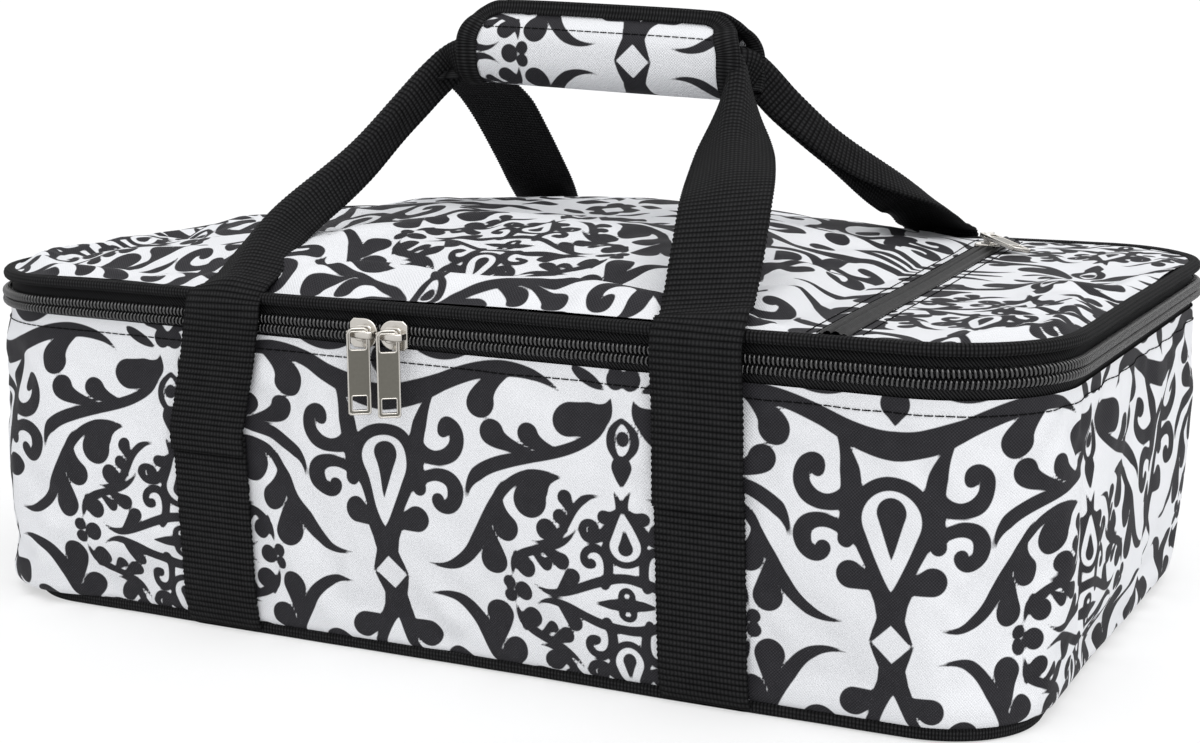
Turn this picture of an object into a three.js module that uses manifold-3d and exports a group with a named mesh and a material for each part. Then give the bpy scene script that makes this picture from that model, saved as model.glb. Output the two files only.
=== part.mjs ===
// Soft insulated casserole carrier: a zipped box of padded cloth, two webbing handles and a padded grip wrap.
// Millimetres, +Z up. The origin is the middle of the underside, and the front with the zip pulls faces -Y.
import * as THREE from 'three';
import { mergeVertices } from 'three/addons/utils/BufferGeometryUtils.js';
import Module from 'manifold-3d';

const wasm = await Module();
wasm.setup();

// Rim of the lid, which every wall, tape and layer is set off from
const RIM_LENGTH = 400;
const RIM_DEPTH = 242;
const RIM_RADIUS = 42.5;
const CORNER_STEPS = 8;

// Clearances between pieces that lie against each other
const GAP = 0.3;
const ZIP_PLAY = 0.3;

// Cloth, foam and board thicknesses
const CLOTH = 1;
const FOAM = 4;
const LINING = 0.8;
const BOARD = 2;
const TAPE = 0.7;

// Walls: how far the outside is set in from the rim at the top and at the base
const WALL_INSET_TOP = 1.5;
const WALL_INSET_BASE = 6.5;
const LINING_ABOVE_WALL = 1;

// Binding round the base edge and round the lid edge
const BASE_BINDING_HEIGHT = 4.5;
const BASE_BINDING_PROUD = 2;
const LID_BINDING_WIDTH = 4.7;
const LID_BINDING_HEIGHT = 3.4;
const LID_BINDING_PROUD = 0.6;
const BINDING_BEVEL = 0.8;

// Zip round the front and sides
const ZIP_HEIGHT = 111.5;
const COIL_GAP = 1.1;
const COIL_TALL = 3;
const COIL_THICK = 2.4;
const COIL_PROUD = 1.3;
const TAPE_ABOVE_COIL = 2.7;
const TAPE_BELOW_COIL = 3.85;
const ZIP_END_STEP = 4;

// Lid layers, from the rim inwards and from the top down
const LID_EDGE_DROP = 0.65;
const POCKET_DEPTH = 3.2;
const POCKET_LINING = 0.5;
const LID_FOAM_ABOVE_ZIP = 1.9;
const CROWN_SCALE = [1, 0.93, 0.8, 0.71, 0.62, 0.42, 0.22, 0.06];
const CROWN_HEIGHT = 17;
const CROWN_TOP = new THREE.Vector2(-25, 30);
const CROWN_FLAT_RIGHT = 17;
const CROWN_FULLNESS = 0.75;

// Pocket zip across the lid
const POCKET_ZIP_X = 126;
const POCKET_SLOT = 9;
const POCKET_COIL_WIDTH = 5;
const POCKET_COIL_THICK = 1.2;
const POCKET_SLANT = THREE.MathUtils.degToRad(4);
const POCKET_SLIDER_FROM_RIM = 29;

// Webbing
const WEB_WIDTH = 30;
const WEB_THICK = 1.6;
const WEB_SPREAD = 91.75;
const WEB_SHIFT = 1.75;
const STITCH_HEIGHT = 72;
const STRAP_TURN_STEPS = 4;

// Handles: half distances between the two legs and from the middle, the heights above the rim that they pass,
// and how far the pair sways to the right
const RIM_SPREAD = 87;
const RIM_SWAY = 7;
const LEG_LOW = { spread: 76, reach: 80, rise: 20.5, sway: 3.5 };
const LEG_HIGH = { spread: 69, reach: 38, rise: 43.5, sway: 1 };
const GRIP_MOUTH = { spread: 61, reach: 5, rise: 66 };
const HANDLE_STEPS = 64;
const WEB_FOLD = THREE.MathUtils.degToRad(86);
const WEB_STAND_OFF = 2.1;
const OUTWARD_LEAN = 0.5;

// Grip wrap
const GRIP_LENGTH = 113;
const GRIP_ABOVE_RIM = 74.5;
const GRIP_HALF_HEIGHT = 13;
const GRIP_HALF_DEPTH = 12.5;
const GRIP_FIN_TOP = 18;
const GRIP_SQUARENESS = 0.8;
const GRIP_FOAM = 2.4;
const GRIP_PARTING = 0.15;
const GRIP_WEB_OFFSET = 3.2;
const GRIP_FOLD_DROP = 7;
const HOOK_HEIGHT = 5;
const HOOK_THICK = 1.3;

// Slider and pull
const SLIDER_LENGTH = 10.5;
const SLIDER_TALL = 9.7;
const SLIDER_NOSE = 3;
const PLATE = 1;
const POST_LENGTH = 3;
const POST_THICK = 0.5;
const BAIL_ROD = 1.3;
const BAIL_SPAN = 10;
const BAIL_STAND_OFF = 3.4;
const PULL_LENGTH = 31;
const PULL_WIDTH = 7.5;
const PULL_THICK = 1.4;
const PULL_SLOT_WIDTH = 5.2;
const PULL_SLOT_LENGTH = 5.7;
const PULL_BAR = 1.4;
const PULL_WINDOW = 4.6;
const PULL_TURN = THREE.MathUtils.degToRad(36);
const SLIDER_LEFT_X = -23.5;
const SLIDER_RIGHT_X = -12.2;

// Heights that follow from the layers above
const BASE_COVER_TOP = WEB_THICK + GAP + CLOTH;
const BOARD_BOTTOM = BASE_COVER_TOP + GAP;
const BASE_FOAM_BOTTOM = BOARD_BOTTOM + BOARD + GAP;
const TUB_FLOOR = BASE_FOAM_BOTTOM + FOAM + GAP;
const WALL_BOTTOM = BASE_COVER_TOP + GAP;
const COIL_LOW = ZIP_HEIGHT - COIL_GAP / 2 - COIL_TALL;
const COIL_HIGH = ZIP_HEIGHT + COIL_GAP / 2 + COIL_TALL;
const TAPE_TOP = COIL_HIGH + TAPE_ABOVE_COIL;
const TAPE_BOTTOM = COIL_LOW - TAPE_BELOW_COIL;
const WALL_TOP = TAPE_BOTTOM - GAP;
const LID_BINDING_BOTTOM = TAPE_TOP + GAP;
const RIM_TOP = LID_BINDING_BOTTOM + LID_BINDING_HEIGHT;
const LID_EDGE_TOP = RIM_TOP - LID_EDGE_DROP;
const LID_UNDERSIDE = ZIP_HEIGHT + LID_FOAM_ABOVE_ZIP;
const GRIP_CENTRE = RIM_TOP + GRIP_ABOVE_RIM;
const GRIP_TOP = GRIP_CENTRE + GRIP_FIN_TOP;
const TAPE_FACE = COIL_PROUD - COIL_THICK - GAP;
const LID_EDGE_INSET = LID_BINDING_WIDTH - LID_BINDING_PROUD + GAP;
const GRIP_FIN = GRIP_PARTING + HOOK_THICK + GAP;

// Finishes
const black = { color: 0x1a1a1c, roughness: 0.85, metalness: 0 };
const finishes = {
  print: { color: 0xdfe1e8, roughness: 0.75, metalness: 0 },
  webbing: black,
  binding: { ...black, roughness: 0.8 },
  tape: { ...black, roughness: 0.7 },
  coil: { ...black, roughness: 0.45 },
  base: { ...black, roughness: 0.7 },
  foam: { color: 0xd8d6cf, roughness: 0.95, metalness: 0 },
  board: { color: 0x8a8a86, roughness: 0.6, metalness: 0 },
  lining: { color: 0xb9bcc0, roughness: 0.35, metalness: 0.5 },
  pouch: { color: 0x2a2a2c, roughness: 0.8, metalness: 0 },
  nickel: { color: 0xc9c6bf, roughness: 0.2, metalness: 1 },
  hook: { ...black, roughness: 0.95 },
};

const carrier = new THREE.Group();

function addPiece(name, geometry, finish, parent = carrier) {
  const mesh = new THREE.Mesh(geometry, new THREE.MeshStandardMaterial(finishes[finish]));
  mesh.name = name;
  parent.add(mesh);
  return mesh;
}

// Geometry helpers

function closedGeometry(points, triangles) {
  let volume = 0;
  for (const [a, b, c] of triangles) {
    volume += points[a].dot(points[b].clone().cross(points[c]));
  }
  const facing = volume < 0 ? triangles.map(([a, b, c]) => [a, c, b]) : triangles;
  const geometry = new THREE.BufferGeometry();
  geometry.setAttribute('position', new THREE.Float32BufferAttribute(points.flatMap((p) => p.toArray()), 3));
  geometry.setIndex(facing.flat());
  return geometry;
}

// Joins rings of equally many points into one closed skin. An open run gets a cap at each end.
// The first crossedRuns runs are split along the other diagonal.
function skin(rings, closedRun = false, crossedRuns = 0) {
  const count = rings[0].length;
  const triangles = [];
  const runs = closedRun ? rings.length : rings.length - 1;
  for (let i = 0; i < runs; i += 1) {
    const here = i * count;
    const next = ((i + 1) % rings.length) * count;
    for (let k = 0; k < count; k += 1) {
      const after = (k + 1) % count;
      if (i < crossedRuns) {
        triangles.push([here + k, here + after, next + k], [here + after, next + after, next + k]);
      } else {
        triangles.push([here + k, here + after, next + after], [here + k, next + after, next + k]);
      }
    }
  }
  if (!closedRun) {
    const last = (rings.length - 1) * count;
    const cap = (ring) => THREE.ShapeUtils.triangulateShape(flatten(ring), []);
    for (const [a, b, c] of cap(rings[0])) {
      triangles.push([a, c, b]);
    }
    for (const [a, b, c] of cap(rings[rings.length - 1])) {
      triangles.push([last + a, last + b, last + c]);
    }
  }
  return closedGeometry(rings.flat(), triangles);
}

// A flat ring's points in its own plane, with the turning sense kept
function flatten(ring) {
  const normal = new THREE.Vector3();
  for (let k = 0; k < ring.length; k += 1) {
    normal.add(ring[k].clone().cross(ring[(k + 1) % ring.length]));
  }
  const turn = new THREE.Quaternion().setFromUnitVectors(normal.normalize(), new THREE.Vector3(0, 0, 1));
  return ring.map((p) => {
    const q = p.clone().applyQuaternion(turn);
    return new THREE.Vector2(q.x, q.y);
  });
}

// Points round the rim, clockwise from the rear right corner, each with the outward direction in plan
function rimPoints() {
  const corners = [
    { x: 1, y: 1, from: 90 },
    { x: 1, y: -1, from: 0 },
    { x: -1, y: -1, from: -90 },
    { x: -1, y: 1, from: -180 },
  ];
  return corners.flatMap((corner) =>
    Array.from({ length: CORNER_STEPS + 1 }, (_, k) => {
      const angle = THREE.MathUtils.degToRad(corner.from - (90 * k) / CORNER_STEPS);
      const out = new THREE.Vector2(Math.cos(angle), Math.sin(angle));
      const centre = new THREE.Vector2(
        corner.x * (RIM_LENGTH / 2 - RIM_RADIUS),
        corner.y * (RIM_DEPTH / 2 - RIM_RADIUS),
      );
      return { at: centre.addScaledVector(out, RIM_RADIUS), out };
    }),
  );
}

const rim = rimPoints();
const zipRun = rim.slice(ZIP_END_STEP, rim.length - ZIP_END_STEP);
const hingeRun = [...rim.slice(rim.length - ZIP_END_STEP), ...rim.slice(0, ZIP_END_STEP)];

// A point at an offset outside the rim. A scale below 1 draws it in towards the top of the crown.
function offRim({ at, out }, offset, z, scale = 1) {
  const flat = at.clone().addScaledVector(out, offset).multiplyScalar(scale);
  flat.addScaledVector(CROWN_TOP, 1 - scale);
  return new THREE.Vector3(flat.x, flat.y, z);
}

// Height of the lid's crown over its edge. It ends just left of the pocket zip, which lies flat.
function crownRise({ x, y }) {
  const left = CROWN_TOP.x + RIM_LENGTH / 2 - LID_EDGE_INSET;
  const right = POCKET_ZIP_X - CROWN_FLAT_RIGHT - CROWN_TOP.x;
  const front = CROWN_TOP.y + RIM_DEPTH / 2 - LID_EDGE_INSET;
  const rear = RIM_DEPTH / 2 - LID_EDGE_INSET - CROWN_TOP.y;
  const across = (x - CROWN_TOP.x) / (x > CROWN_TOP.x ? right : left);
  const deep = (y - CROWN_TOP.y) / (y > CROWN_TOP.y ? rear : front);
  const dome = Math.max(0, 1 - across ** 2) * Math.max(0, 1 - deep ** 2);
  return CROWN_HEIGHT * dome ** CROWN_FULLNESS;
}

// Sweeps a section of [offset, height] points along the rim, or along part of it
function band(section, run = rim) {
  return skin(run.map((p) => section.map(([offset, z]) => offRim(p, offset, z))), run === rim);
}

// Stacks whole outlines of [offset, height, scale] into a closed solid
function stack(levels) {
  return skin(levels.map(([offset, z, scale = 1]) => rim.map((p) => offRim(p, offset, z, scale))));
}

// A crowned lid layer between two heights at the edge, or down to a flat underside
function crownedLayer(inset, top, thickness, flatBottom = false) {
  const ring = (scale, z, crowned) => rim.map((p) => {
    const point = offRim(p, -inset, z, scale);
    point.z += crowned && scale < 1 ? crownRise(point) : 0;
    return point;
  });
  const over = CROWN_SCALE.map((scale) => ring(scale, top, true));
  const under = CROWN_SCALE.map((scale) => ring(scale, top - thickness, !flatBottom));
  return skin([...under.reverse(), ...over], false, under.length - 1);
}

function toSolid(geometry) {
  const bare = geometry.clone();
  bare.deleteAttribute('normal');
  bare.deleteAttribute('uv');
  const merged = mergeVertices(bare, 1e-4);
  return new wasm.Manifold(
    new wasm.Mesh({
      numProp: 3,
      vertProperties: new Float32Array(merged.attributes.position.array),
      triVerts: new Uint32Array(merged.index.array),
    }),
  );
}

function toGeometry(solid) {
  const mesh = solid.getMesh();
  const geometry = new THREE.BufferGeometry();
  geometry.setAttribute('position', new THREE.Float32BufferAttribute(mesh.vertProperties, 3));
  geometry.setIndex(Array.from(mesh.triVerts));
  return geometry;
}

function boxSpan(low, high) {
  const size = new THREE.Vector3().subVectors(high, low);
  const middle = new THREE.Vector3().addVectors(low, high).multiplyScalar(0.5);
  return new THREE.BoxGeometry(size.x, size.y, size.z).translate(middle.x, middle.y, middle.z);
}

function cut(geometry, ...tools) {
  return toGeometry(tools.reduce((solid, tool) => solid.subtract(toSolid(tool)), toSolid(geometry)));
}

function keepInside(geometry, tool) {
  return toGeometry(toSolid(geometry).intersect(toSolid(tool)));
}

function join(...geometries) {
  return toGeometry(geometries.map(toSolid).reduce((all, next) => all.add(next)));
}

// Extrudes a closed outline of [y, z] points along X, centred on the middle
function alongX(outline, length) {
  const shape = new THREE.Shape(outline.map(([y, z]) => new THREE.Vector2(y, z)));
  const geometry = new THREE.ExtrudeGeometry(shape, { depth: length, bevelEnabled: false });
  const axes = new THREE.Matrix4().makeBasis(
    new THREE.Vector3(0, 1, 0),
    new THREE.Vector3(0, 0, 1),
    new THREE.Vector3(1, 0, 0),
  );
  return geometry.applyMatrix4(axes).translate(-length / 2, 0, 0);
}

// Walls: outer set-in at a height, and the outlines of the layers inside it
const wallShare = (z) => (z - WALL_BOTTOM) / (WALL_TOP - WALL_BOTTOM);
const wallOffset = (z) => -THREE.MathUtils.lerp(WALL_INSET_BASE, WALL_INSET_TOP, wallShare(z));
const foamOffset = (z) => wallOffset(z) - CLOTH - GAP;
const tubOffset = (z) => foamOffset(z) - FOAM - GAP;

function wallLayer(offsetAt, thickness, bottom, top) {
  return band([
    [offsetAt(bottom), bottom],
    [offsetAt(top), top],
    [offsetAt(top) - thickness, top],
    [offsetAt(bottom) - thickness, bottom],
  ]);
}

function insetPlate(bottom, thickness) {
  const offset = tubOffset(bottom);
  return stack([[offset, bottom], [offset, bottom + thickness]]);
}

function liningTub() {
  const top = WALL_TOP + LINING_ABOVE_WALL;
  const floor = TUB_FLOOR + LINING;
  return stack([
    [tubOffset(TUB_FLOOR), TUB_FLOOR],
    [tubOffset(top), top],
    [tubOffset(top) - LINING, top],
    [tubOffset(floor) - LINING, floor],
  ]);
}

// Webbing: one ribbon along stations of {at, across, face, fold}

function ribbon(stations) {
  const half = WEB_THICK / 2;
  return skin(stations.map(({ at, across, face, fold }) => {
    const limb = (side) => across.clone().multiplyScalar(side * Math.cos(fold)).addScaledVector(face, Math.sin(fold));
    const normal = (side) => face.clone().multiplyScalar(Math.cos(fold)).addScaledVector(across, -side * Math.sin(fold));
    const tip = (side, lift) =>
      at.clone().addScaledVector(limb(side), WEB_WIDTH / 2).addScaledVector(normal(side), lift);
    const inner = at.clone().addScaledVector(face, half / Math.cos(fold));
    const outer = at.clone().addScaledVector(face, -half);
    return [tip(-1, half), inner, tip(1, half), tip(1, -half), outer, tip(-1, -half)];
  }));
}

// The strap sewn to one side of the body: up the front wall, under the base and up the rear wall
function bodyStrap(x) {
  const lift = GAP + WEB_THICK / 2;
  const bindingTop = BASE_COVER_TOP + BASE_BINDING_HEIGHT;
  const edge = RIM_DEPTH / 2 - WALL_INSET_BASE + GAP + BASE_BINDING_PROUD + lift;
  const turn = BASE_COVER_TOP;
  const half = [new THREE.Vector2(edge - turn, WEB_THICK / 2)];
  for (let k = 1; k <= STRAP_TURN_STEPS; k += 1) {
    const angle = (Math.PI / 2) * (k / STRAP_TURN_STEPS);
    half.push(new THREE.Vector2(
      edge - turn + turn * Math.sin(angle),
      WEB_THICK / 2 + turn * (1 - Math.cos(angle)),
    ));
  }
  half.push(new THREE.Vector2(edge, bindingTop));
  const clear = bindingTop + WEB_WIDTH / 3;
  half.push(new THREE.Vector2(RIM_DEPTH / 2 + wallOffset(clear) + lift, clear));
  half.push(new THREE.Vector2(RIM_DEPTH / 2 + wallOffset(STITCH_HEIGHT) + lift, STITCH_HEIGHT));
  const front = half.map((p) => new THREE.Vector3(x, -p.x, p.y)).reverse();
  const rear = half.map((p) => new THREE.Vector3(x, p.x, p.y));
  const points = [...front, ...rear];
  return ribbon(points.map((at, k) => {
    const before = points[Math.max(k - 1, 0)];
    const after = points[Math.min(k + 1, points.length - 1)];
    const along = new THREE.Vector3().subVectors(after, before).normalize();
    const across = new THREE.Vector3(1, 0, 0);
    return { at, across, face: new THREE.Vector3().crossVectors(across, along), fold: 0 };
  }));
}

// One handle's centre line, from its stitch line over the rim to the grip and back. side is -1 at the front.
function handlePath(side) {
  const lift = GAP + WEB_THICK / 2;
  const wall = (z) => RIM_DEPTH / 2 + wallOffset(z) + lift;
  const zipFace = RIM_DEPTH / 2 + COIL_PROUD + WEB_STAND_OFF;
  const loose = STITCH_HEIGHT + WEB_WIDTH / 4;
  const leg = (hand) => [
    [WEB_SPREAD, wall(STITCH_HEIGHT), STITCH_HEIGHT + GAP, WEB_SHIFT],
    [WEB_SPREAD, wall(loose), loose, WEB_SHIFT],
    [(WEB_SPREAD + RIM_SPREAD) / 2, wall(WALL_TOP) + lift, WALL_TOP - WEB_WIDTH / 4, (WEB_SHIFT + RIM_SWAY) / 2],
    [RIM_SPREAD, zipFace, ZIP_HEIGHT, RIM_SWAY],
    [RIM_SPREAD, zipFace, RIM_TOP - BINDING_BEVEL, RIM_SWAY],
    [RIM_SPREAD, RIM_DEPTH / 2, RIM_TOP + 2 * WEB_STAND_OFF, RIM_SWAY],
    [LEG_LOW.spread, LEG_LOW.reach, RIM_TOP + LEG_LOW.rise, LEG_LOW.sway],
    [LEG_HIGH.spread, LEG_HIGH.reach, RIM_TOP + LEG_HIGH.rise, LEG_HIGH.sway],
    [GRIP_MOUTH.spread, GRIP_MOUTH.reach, RIM_TOP + GRIP_MOUTH.rise, 0],
    [GRIP_LENGTH / 2 - GRIP_FOLD_DROP, GRIP_WEB_OFFSET, GRIP_CENTRE - GRIP_FOLD_DROP, 0],
    [GRIP_LENGTH / 3, GRIP_WEB_OFFSET, GRIP_CENTRE - GRIP_FOLD_DROP, 0],
  ].map(([x, y, z, sway]) => new THREE.Vector3(hand * x + sway, side * y, z));
  return new THREE.CatmullRomCurve3([...leg(-1), ...leg(1).reverse()], false, 'centripetal');
}

function handleWebbing(side) {
  const path = handlePath(side);
  return ribbon(Array.from({ length: HANDLE_STEPS + 1 }, (_, k) => {
    const share = k / HANDLE_STEPS;
    const at = path.getPointAt(share);
    const along = path.getTangentAt(share);
    const folded = THREE.MathUtils.smoothstep(LEG_HIGH.spread - Math.abs(at.x), 0, LEG_HIGH.spread - GRIP_MOUTH.spread);
    const overRim = THREE.MathUtils.smoothstep(at.z, ZIP_HEIGHT, RIM_TOP + LEG_LOW.rise);
    const outward = THREE.MathUtils.lerp(1, OUTWARD_LEAN * (1 - folded), overRim);
    const face = new THREE.Vector3(0, side * outward, overRim);
    face.addScaledVector(along, -face.dot(along)).normalize();
    const across = new THREE.Vector3().crossVectors(along, face);
    return { at, across, face, fold: WEB_FOLD * folded };
  }));
}

// Grip wrap: one half's outline from the parting below to the fin at the top. side is -1 at the front.
function gripLine(side, inward) {
  const angles = [-90, -75, -58, -35, -12, 12, 35, 52, 66].map(THREE.MathUtils.degToRad);
  const squared = (v) => Math.sign(v) * Math.abs(v) ** GRIP_SQUARENESS;
  const line = angles.map((a) => [
    Math.max(GRIP_PARTING, (GRIP_HALF_DEPTH - inward) * squared(Math.cos(a))),
    GRIP_CENTRE + (GRIP_HALF_HEIGHT - inward) * squared(Math.sin(a)),
  ]);
  line.push([GRIP_FIN + CLOTH - inward, GRIP_TOP - HOOK_HEIGHT]);
  line.push([GRIP_FIN + CLOTH - inward, GRIP_TOP]);
  return line.map(([y, z]) => [side * y, z]);
}

function gripShell(side, inward, thickness, points) {
  const outer = gripLine(side, inward).slice(0, points);
  const inner = gripLine(side, inward + thickness).slice(0, points);
  return [...outer, ...inner.reverse()];
}

const GRIP_POINTS = gripLine(1, 0).length;
const GRIP_ROUND_POINTS = GRIP_POINTS - 2;

function gripBinding(side) {
  const end = GRIP_LENGTH / 2 - LID_BINDING_WIDTH / 2;
  const wrap = gripShell(side, -GAP - BINDING_BEVEL, BINDING_BEVEL, GRIP_POINTS);
  const ends = [-1, 1].map((hand) => alongX(wrap, LID_BINDING_WIDTH).translate(hand * end, 0, 0));
  const edge = GRIP_FIN + CLOTH + GAP;
  const fin = alongX([
    [side * edge, GRIP_TOP - HOOK_HEIGHT],
    [side * (edge + BINDING_BEVEL), GRIP_TOP - HOOK_HEIGHT],
    [side * (edge + BINDING_BEVEL), GRIP_TOP + GAP + BINDING_BEVEL],
    [side * GRIP_PARTING, GRIP_TOP + GAP + BINDING_BEVEL],
    [side * GRIP_PARTING, GRIP_TOP + GAP],
    [side * edge, GRIP_TOP + GAP],
  ], GRIP_LENGTH);
  return join(fin, ...ends);
}

function closureStrip(side) {
  const inner = GRIP_PARTING;
  const outer = GRIP_PARTING + HOOK_THICK;
  const bottom = GRIP_TOP - HOOK_HEIGHT;
  return alongX([
    [side * inner, bottom],
    [side * outer, bottom],
    [side * outer, GRIP_TOP - GAP],
    [side * inner, GRIP_TOP - GAP],
  ], GRIP_LENGTH - 2 * LID_BINDING_WIDTH);
}

// Slider in its own frame: X along the zip, Z across it, -Y outwards, with the zip's middle at the origin
function sliderBody(outside, inside, noseLeft) {
  const plate = (y, thickness) => {
    const shape = new THREE.Shape();
    const tall = SLIDER_TALL / 2;
    const long = SLIDER_LENGTH / 2;
    shape.moveTo(-long, -tall + 1);
    shape.lineTo(long - tall, -tall);
    shape.absarc(long - tall, 0, tall, -Math.PI / 2, Math.PI / 2, false);
    shape.lineTo(-long, tall - 1);
    const geometry = new THREE.ExtrudeGeometry(shape, { depth: thickness, bevelEnabled: false, curveSegments: 8 });
    return geometry.rotateX(Math.PI / 2).translate(0, y, 0);
  };
  const front = plate(-outside, PLATE);
  const back = plate(inside + PLATE, PLATE);
  const postX = SLIDER_LENGTH / 2 - SLIDER_NOSE - POST_LENGTH;
  const post = boxSpan(
    new THREE.Vector3(postX, -outside - PLATE / 2, -POST_THICK / 2),
    new THREE.Vector3(postX + POST_LENGTH, inside + PLATE / 2, POST_THICK / 2),
  );
  const rodY = -outside - PLATE - BAIL_STAND_OFF;
  const rod = new THREE.CylinderGeometry(BAIL_ROD / 2, BAIL_ROD / 2, BAIL_SPAN, 10)
    .rotateZ(Math.PI / 2)
    .translate(0, rodY, 0);
  const legs = [-1, 1].map((hand) => {
    const x = hand * (BAIL_SPAN / 2 - BAIL_ROD / 2);
    return boxSpan(
      new THREE.Vector3(x - BAIL_ROD / 2, rodY, -BAIL_ROD / 2),
      new THREE.Vector3(x + BAIL_ROD / 2, -outside - PLATE / 2, BAIL_ROD / 2),
    );
  });
  const body = join(front, back, post, rod, ...legs);
  return noseLeft ? body.applyMatrix4(new THREE.Matrix4().makeRotationY(Math.PI)) : body;
}

// Pull hanging from the bail's axis, turned so that one side of its slot passes behind the rod
function pullTab() {
  const half = PULL_WIDTH / 2;
  const top = BAIL_ROD / 2 + GAP + PULL_BAR;
  const shape = new THREE.Shape();
  shape.moveTo(-half, top - PULL_LENGTH);
  shape.lineTo(half, top - PULL_LENGTH);
  shape.lineTo(half, 0);
  shape.quadraticCurveTo(half, top, half / 2, top);
  shape.lineTo(-half / 2, top);
  shape.quadraticCurveTo(-half, top, -half, 0);
  const hole = (width, high, length) => new THREE.Path([
    new THREE.Vector2(-width / 2, high),
    new THREE.Vector2(-width / 2, high - length),
    new THREE.Vector2(width / 2, high - length),
    new THREE.Vector2(width / 2, high),
  ]);
  const foot = top - PULL_LENGTH + PULL_BAR + PULL_WINDOW;
  shape.holes.push(hole(PULL_SLOT_WIDTH, top - PULL_BAR, PULL_SLOT_LENGTH));
  shape.holes.push(hole(PULL_WINDOW, foot, PULL_WINDOW));
  const geometry = new THREE.ExtrudeGeometry(shape, { depth: PULL_THICK, bevelEnabled: false, curveSegments: 6 });
  return geometry.translate(0, 0, -PULL_THICK / 2).rotateX(Math.PI / 2);
}

// Body of the bag

const grooveHalf = WEB_WIDTH / 2 + GAP;
const grooves = [-1, 1].map((hand) => boxSpan(
  new THREE.Vector3(WEB_SHIFT + hand * WEB_SPREAD - grooveHalf, -RIM_DEPTH, -CLOTH),
  new THREE.Vector3(WEB_SHIFT + hand * WEB_SPREAD + grooveHalf, RIM_DEPTH, WEB_THICK + GAP),
));
const basePlate = stack([[-WALL_INSET_BASE, 0], [-WALL_INSET_BASE, BASE_COVER_TOP]]);
addPiece('base_cover', cut(basePlate, ...grooves), 'base');
addPiece('base_board', insetPlate(BOARD_BOTTOM, BOARD), 'board');
addPiece('base_foam', insetPlate(BASE_FOAM_BOTTOM, FOAM), 'foam');

const bindingInner = wallOffset(WALL_BOTTOM + BASE_BINDING_HEIGHT) + GAP;
const bindingOuter = -WALL_INSET_BASE + GAP + BASE_BINDING_PROUD;
addPiece('base_binding', band([
  [bindingInner, BASE_COVER_TOP],
  [bindingOuter - BINDING_BEVEL, BASE_COVER_TOP],
  [bindingOuter, BASE_COVER_TOP + BINDING_BEVEL],
  [bindingOuter, BASE_COVER_TOP + BASE_BINDING_HEIGHT - BINDING_BEVEL],
  [bindingOuter - BINDING_BEVEL, BASE_COVER_TOP + BASE_BINDING_HEIGHT],
  [bindingInner, BASE_COVER_TOP + BASE_BINDING_HEIGHT],
]), 'binding');

addPiece('wall_cover', wallLayer(wallOffset, CLOTH, WALL_BOTTOM, WALL_TOP), 'print');
addPiece('wall_foam', wallLayer(foamOffset, FOAM, WALL_BOTTOM, WALL_TOP - GAP), 'foam');
addPiece('lining_tub', liningTub(), 'lining');
addPiece('left_body_strap', bodyStrap(WEB_SHIFT - WEB_SPREAD), 'webbing');
addPiece('right_body_strap', bodyStrap(WEB_SHIFT + WEB_SPREAD), 'webbing');

// Zip: the lower half on the body, the upper half on the lid, and the cloth hinge across the rear

const coil = (bottom) => [
  [COIL_PROUD - COIL_THICK, bottom],
  [COIL_PROUD - BINDING_BEVEL, bottom],
  [COIL_PROUD, bottom + BINDING_BEVEL],
  [COIL_PROUD, bottom + COIL_TALL - BINDING_BEVEL],
  [COIL_PROUD - BINDING_BEVEL, bottom + COIL_TALL],
  [COIL_PROUD - COIL_THICK, bottom + COIL_TALL],
];
const tape = (bottom, top) => [
  [TAPE_FACE - TAPE, bottom],
  [TAPE_FACE, bottom],
  [TAPE_FACE, top],
  [TAPE_FACE - TAPE, top],
];
addPiece('lower_zip_tape', band(tape(TAPE_BOTTOM, COIL_LOW + COIL_TALL), zipRun), 'tape');
addPiece('lower_zip_coil', band(coil(COIL_LOW), zipRun), 'coil');
addPiece('upper_zip_tape', band(tape(COIL_HIGH - COIL_TALL, TAPE_TOP), zipRun), 'tape');
addPiece('upper_zip_coil', band(coil(COIL_HIGH - COIL_TALL), zipRun), 'coil');
addPiece('hinge_tape', band(tape(TAPE_BOTTOM, TAPE_TOP), hingeRun), 'tape');

// Lid: the printed cover in two panels either side of the pocket zip, and the layers under it

// A tall slab between two distances from the pocket zip's middle line, for cutting the lid layers
const slab = (from, to) => boxSpan(
  new THREE.Vector3(from, -RIM_LENGTH, 0),
  new THREE.Vector3(to, RIM_LENGTH, GRIP_TOP),
).rotateZ(POCKET_SLANT).translate(POCKET_ZIP_X, 0, 0);
const slotHalf = POCKET_SLOT / 2;
const partHalf = COIL_GAP / 2;
const lidCover = crownedLayer(LID_EDGE_INSET, LID_EDGE_TOP, CLOTH);
addPiece('lid_cover', keepInside(lidCover, slab(-2 * RIM_LENGTH, -slotHalf)), 'print');
addPiece('pocket_panel', keepInside(lidCover, slab(slotHalf, RIM_LENGTH)), 'print');
addPiece('pocket_tape_left', keepInside(lidCover, slab(-slotHalf + GAP, -partHalf)), 'tape');
addPiece('pocket_tape_right', keepInside(lidCover, slab(partHalf, slotHalf - GAP)), 'tape');

const pocketCoilTop = LID_EDGE_TOP - CLOTH - GAP;
const coilLayer = crownedLayer(LID_EDGE_INSET, pocketCoilTop, POCKET_COIL_THICK);
const coilHalf = POCKET_COIL_WIDTH / 2;
addPiece('pocket_coil_left', keepInside(coilLayer, slab(-coilHalf, -partHalf)), 'coil');
addPiece('pocket_coil_right', keepInside(coilLayer, slab(partHalf, coilHalf)), 'coil');

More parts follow.
